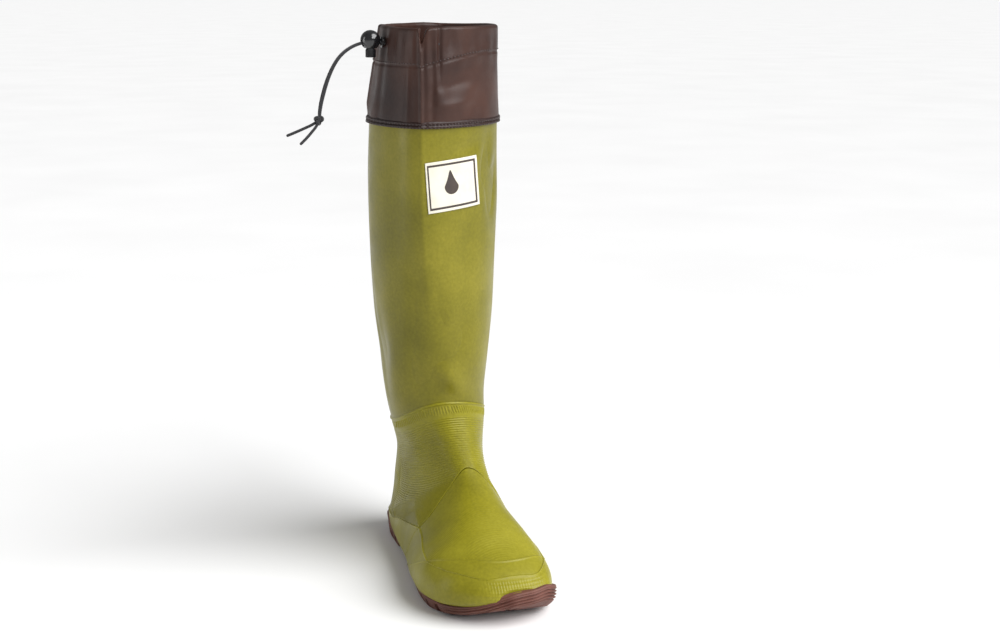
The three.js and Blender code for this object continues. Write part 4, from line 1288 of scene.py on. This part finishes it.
leg_lining = sleeve("leg_lining_knit", SHAFT_TOP, LINING_LEG, (200, 120))
dress(leg_lining, COTTON, "leg", "cotton", "shaft_lining")
bend_lining = sleeve("ankle_lining_knit", LINING_LEG + 0.02, LINING_SPLIT, (200, 90))
dress(bend_lining, COTTON, None, "cotton", "ankle_lining")
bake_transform(bend_lining)
foot_lining = sleeve("foot_lining_knit", LINING_SPLIT + 0.02, FOOT_LINING_END, (200, 220), 1, closed_toe=True)
dress(foot_lining, COTTON, "foot", "cotton", "foot_lining")


BED_LINE = np.array([(24, 9), (85, 9), (128, 9.5), (168, 8), (202, 8), (230, 9.5), (262, 16.5)])
BED_OUT = LINING_IN + 2
BED_RISE = BED_OUT + 4
BED_DISH = 1.0


def bed_section(t):
    """One ring of the footbed: round the bottom of the lined foot, and back across the dished top."""
    phi = np.radians(np.linspace(70, 290, 441))
    under = skin(np.full_like(phi, t), phi, BED_OUT + 0 * phi)
    height = np.interp(SOLE_LENGTH / 2 - under[:, 1], *BED_LINE.T) + BED_RISE
    below = phi[under[:, 2] < height]
    phi = np.linspace(below[0], below[-1], 40)
    bottom = skin(np.full_like(phi, t), phi, BED_OUT + 0 * phi)
    w = np.linspace(0, 1, 42)[1:-1, None]
    top = bottom[-1] * (1 - w) + bottom[0] * w
    dish = BED_DISH * np.sin(math.pi * w[:, 0])
    top[:, 2] += BED_DISH / 2 - dish + 0.12 * np.sin(top[:, 1] * 0.9) * np.sin(top[:, 0] * 0.8)
    return np.concatenate([bottom, top])


footbed = ring_tube(np.array([bed_section(t) for t in np.linspace(10.4, 18.0, 150)]), "footbed_felt")
dress(footbed, FELT, "foot", "cotton", "footbed")

CORD_RING = (BOOT_HEIGHT - CORD_UP) / (BOOT_HEIGHT - STATIONS[1, 1])
CORD_DEPTH = 1.6
HEM_CORD_GAP = 0.14
side_phi = np.linspace(0.3, 2.6, 2000)
side_at = surface(np.full_like(side_phi, CORD_RING), side_phi)[:, 1]
eyelet_phi = side_phi[np.argmin(np.abs(side_at - LOCK_Y))]
hem_phi = np.linspace(eyelet_phi + HEM_CORD_GAP, eyelet_phi - HEM_CORD_GAP + TURN, 900)
hem_line_points = skin(np.full_like(hem_phi, CORD_RING), hem_phi, CORD_DEPTH + 0 * hem_phi)
hem_cord = braided(hem_line_points, "hem_cord", sides=12)
dress(hem_cord, CORD_BLACK, "leg", "cord", "drawcord_channel")

insole_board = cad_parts["insole_board"].data
insole_board.materials.clear()
insole_board.materials.append(BOARD)

# ---------- floor and light ----------
FLOOR_HALF = 80
corners = [(x * FLOOR_HALF / MM, y * FLOOR_HALF / MM, 0) for x, y in ((-1, -1), (1, -1), (1, 1), (-1, 1))]
floor = new_object("floor", corners, [(0, 1, 2, 3)])
paint = Recipe("floor_paint", specular=0.1)
paint.colour(paint.ramp(paint.noise(3, 2), [(0.3, (246, 246, 246)), (0.7, (250, 250, 250))]))
floor.data.materials.append(paint.material)

world = bpy.data.worlds.new("studio")
world.use_nodes = True
background = world.node_tree.nodes["Background"]
background.inputs["Color"].default_value = (1, 1, 1, 1)
background.inputs["Strength"].default_value = 0.25
bpy.context.scene.world = world
bpy.context.scene.view_settings.view_transform = "Standard"
LIT_POINT = Vector((0, 0, 0.26))


def aimed(name, kind, at, power):
    """A light of that kind that points at the middle of the boot."""
    data = bpy.data.lights.new(name, kind)
    data.energy = power
    obj = add_object(name, data)
    obj.location = at
    obj.rotation_euler = (LIT_POINT - Vector(at)).to_track_quat("-Z", "Y").to_euler()
    return data


def strip(name, at, wide, high, power):
    """A rectangular area light, for a long highlight."""
    data = aimed(name, "AREA", at, power)
    data.shape = "RECTANGLE"
    data.size = wide
    data.size_y = high


aimed("key", "SUN", (2.4, -2.1, 2.9), 4.3).angle = math.radians(55)
strip("edge_strip", (-1.5, 0.15, 0.55), 0.16, 1.1, 4)
strip("front_strip", (0.35, -1.6, 1.3), 0.3, 0.3, 4)
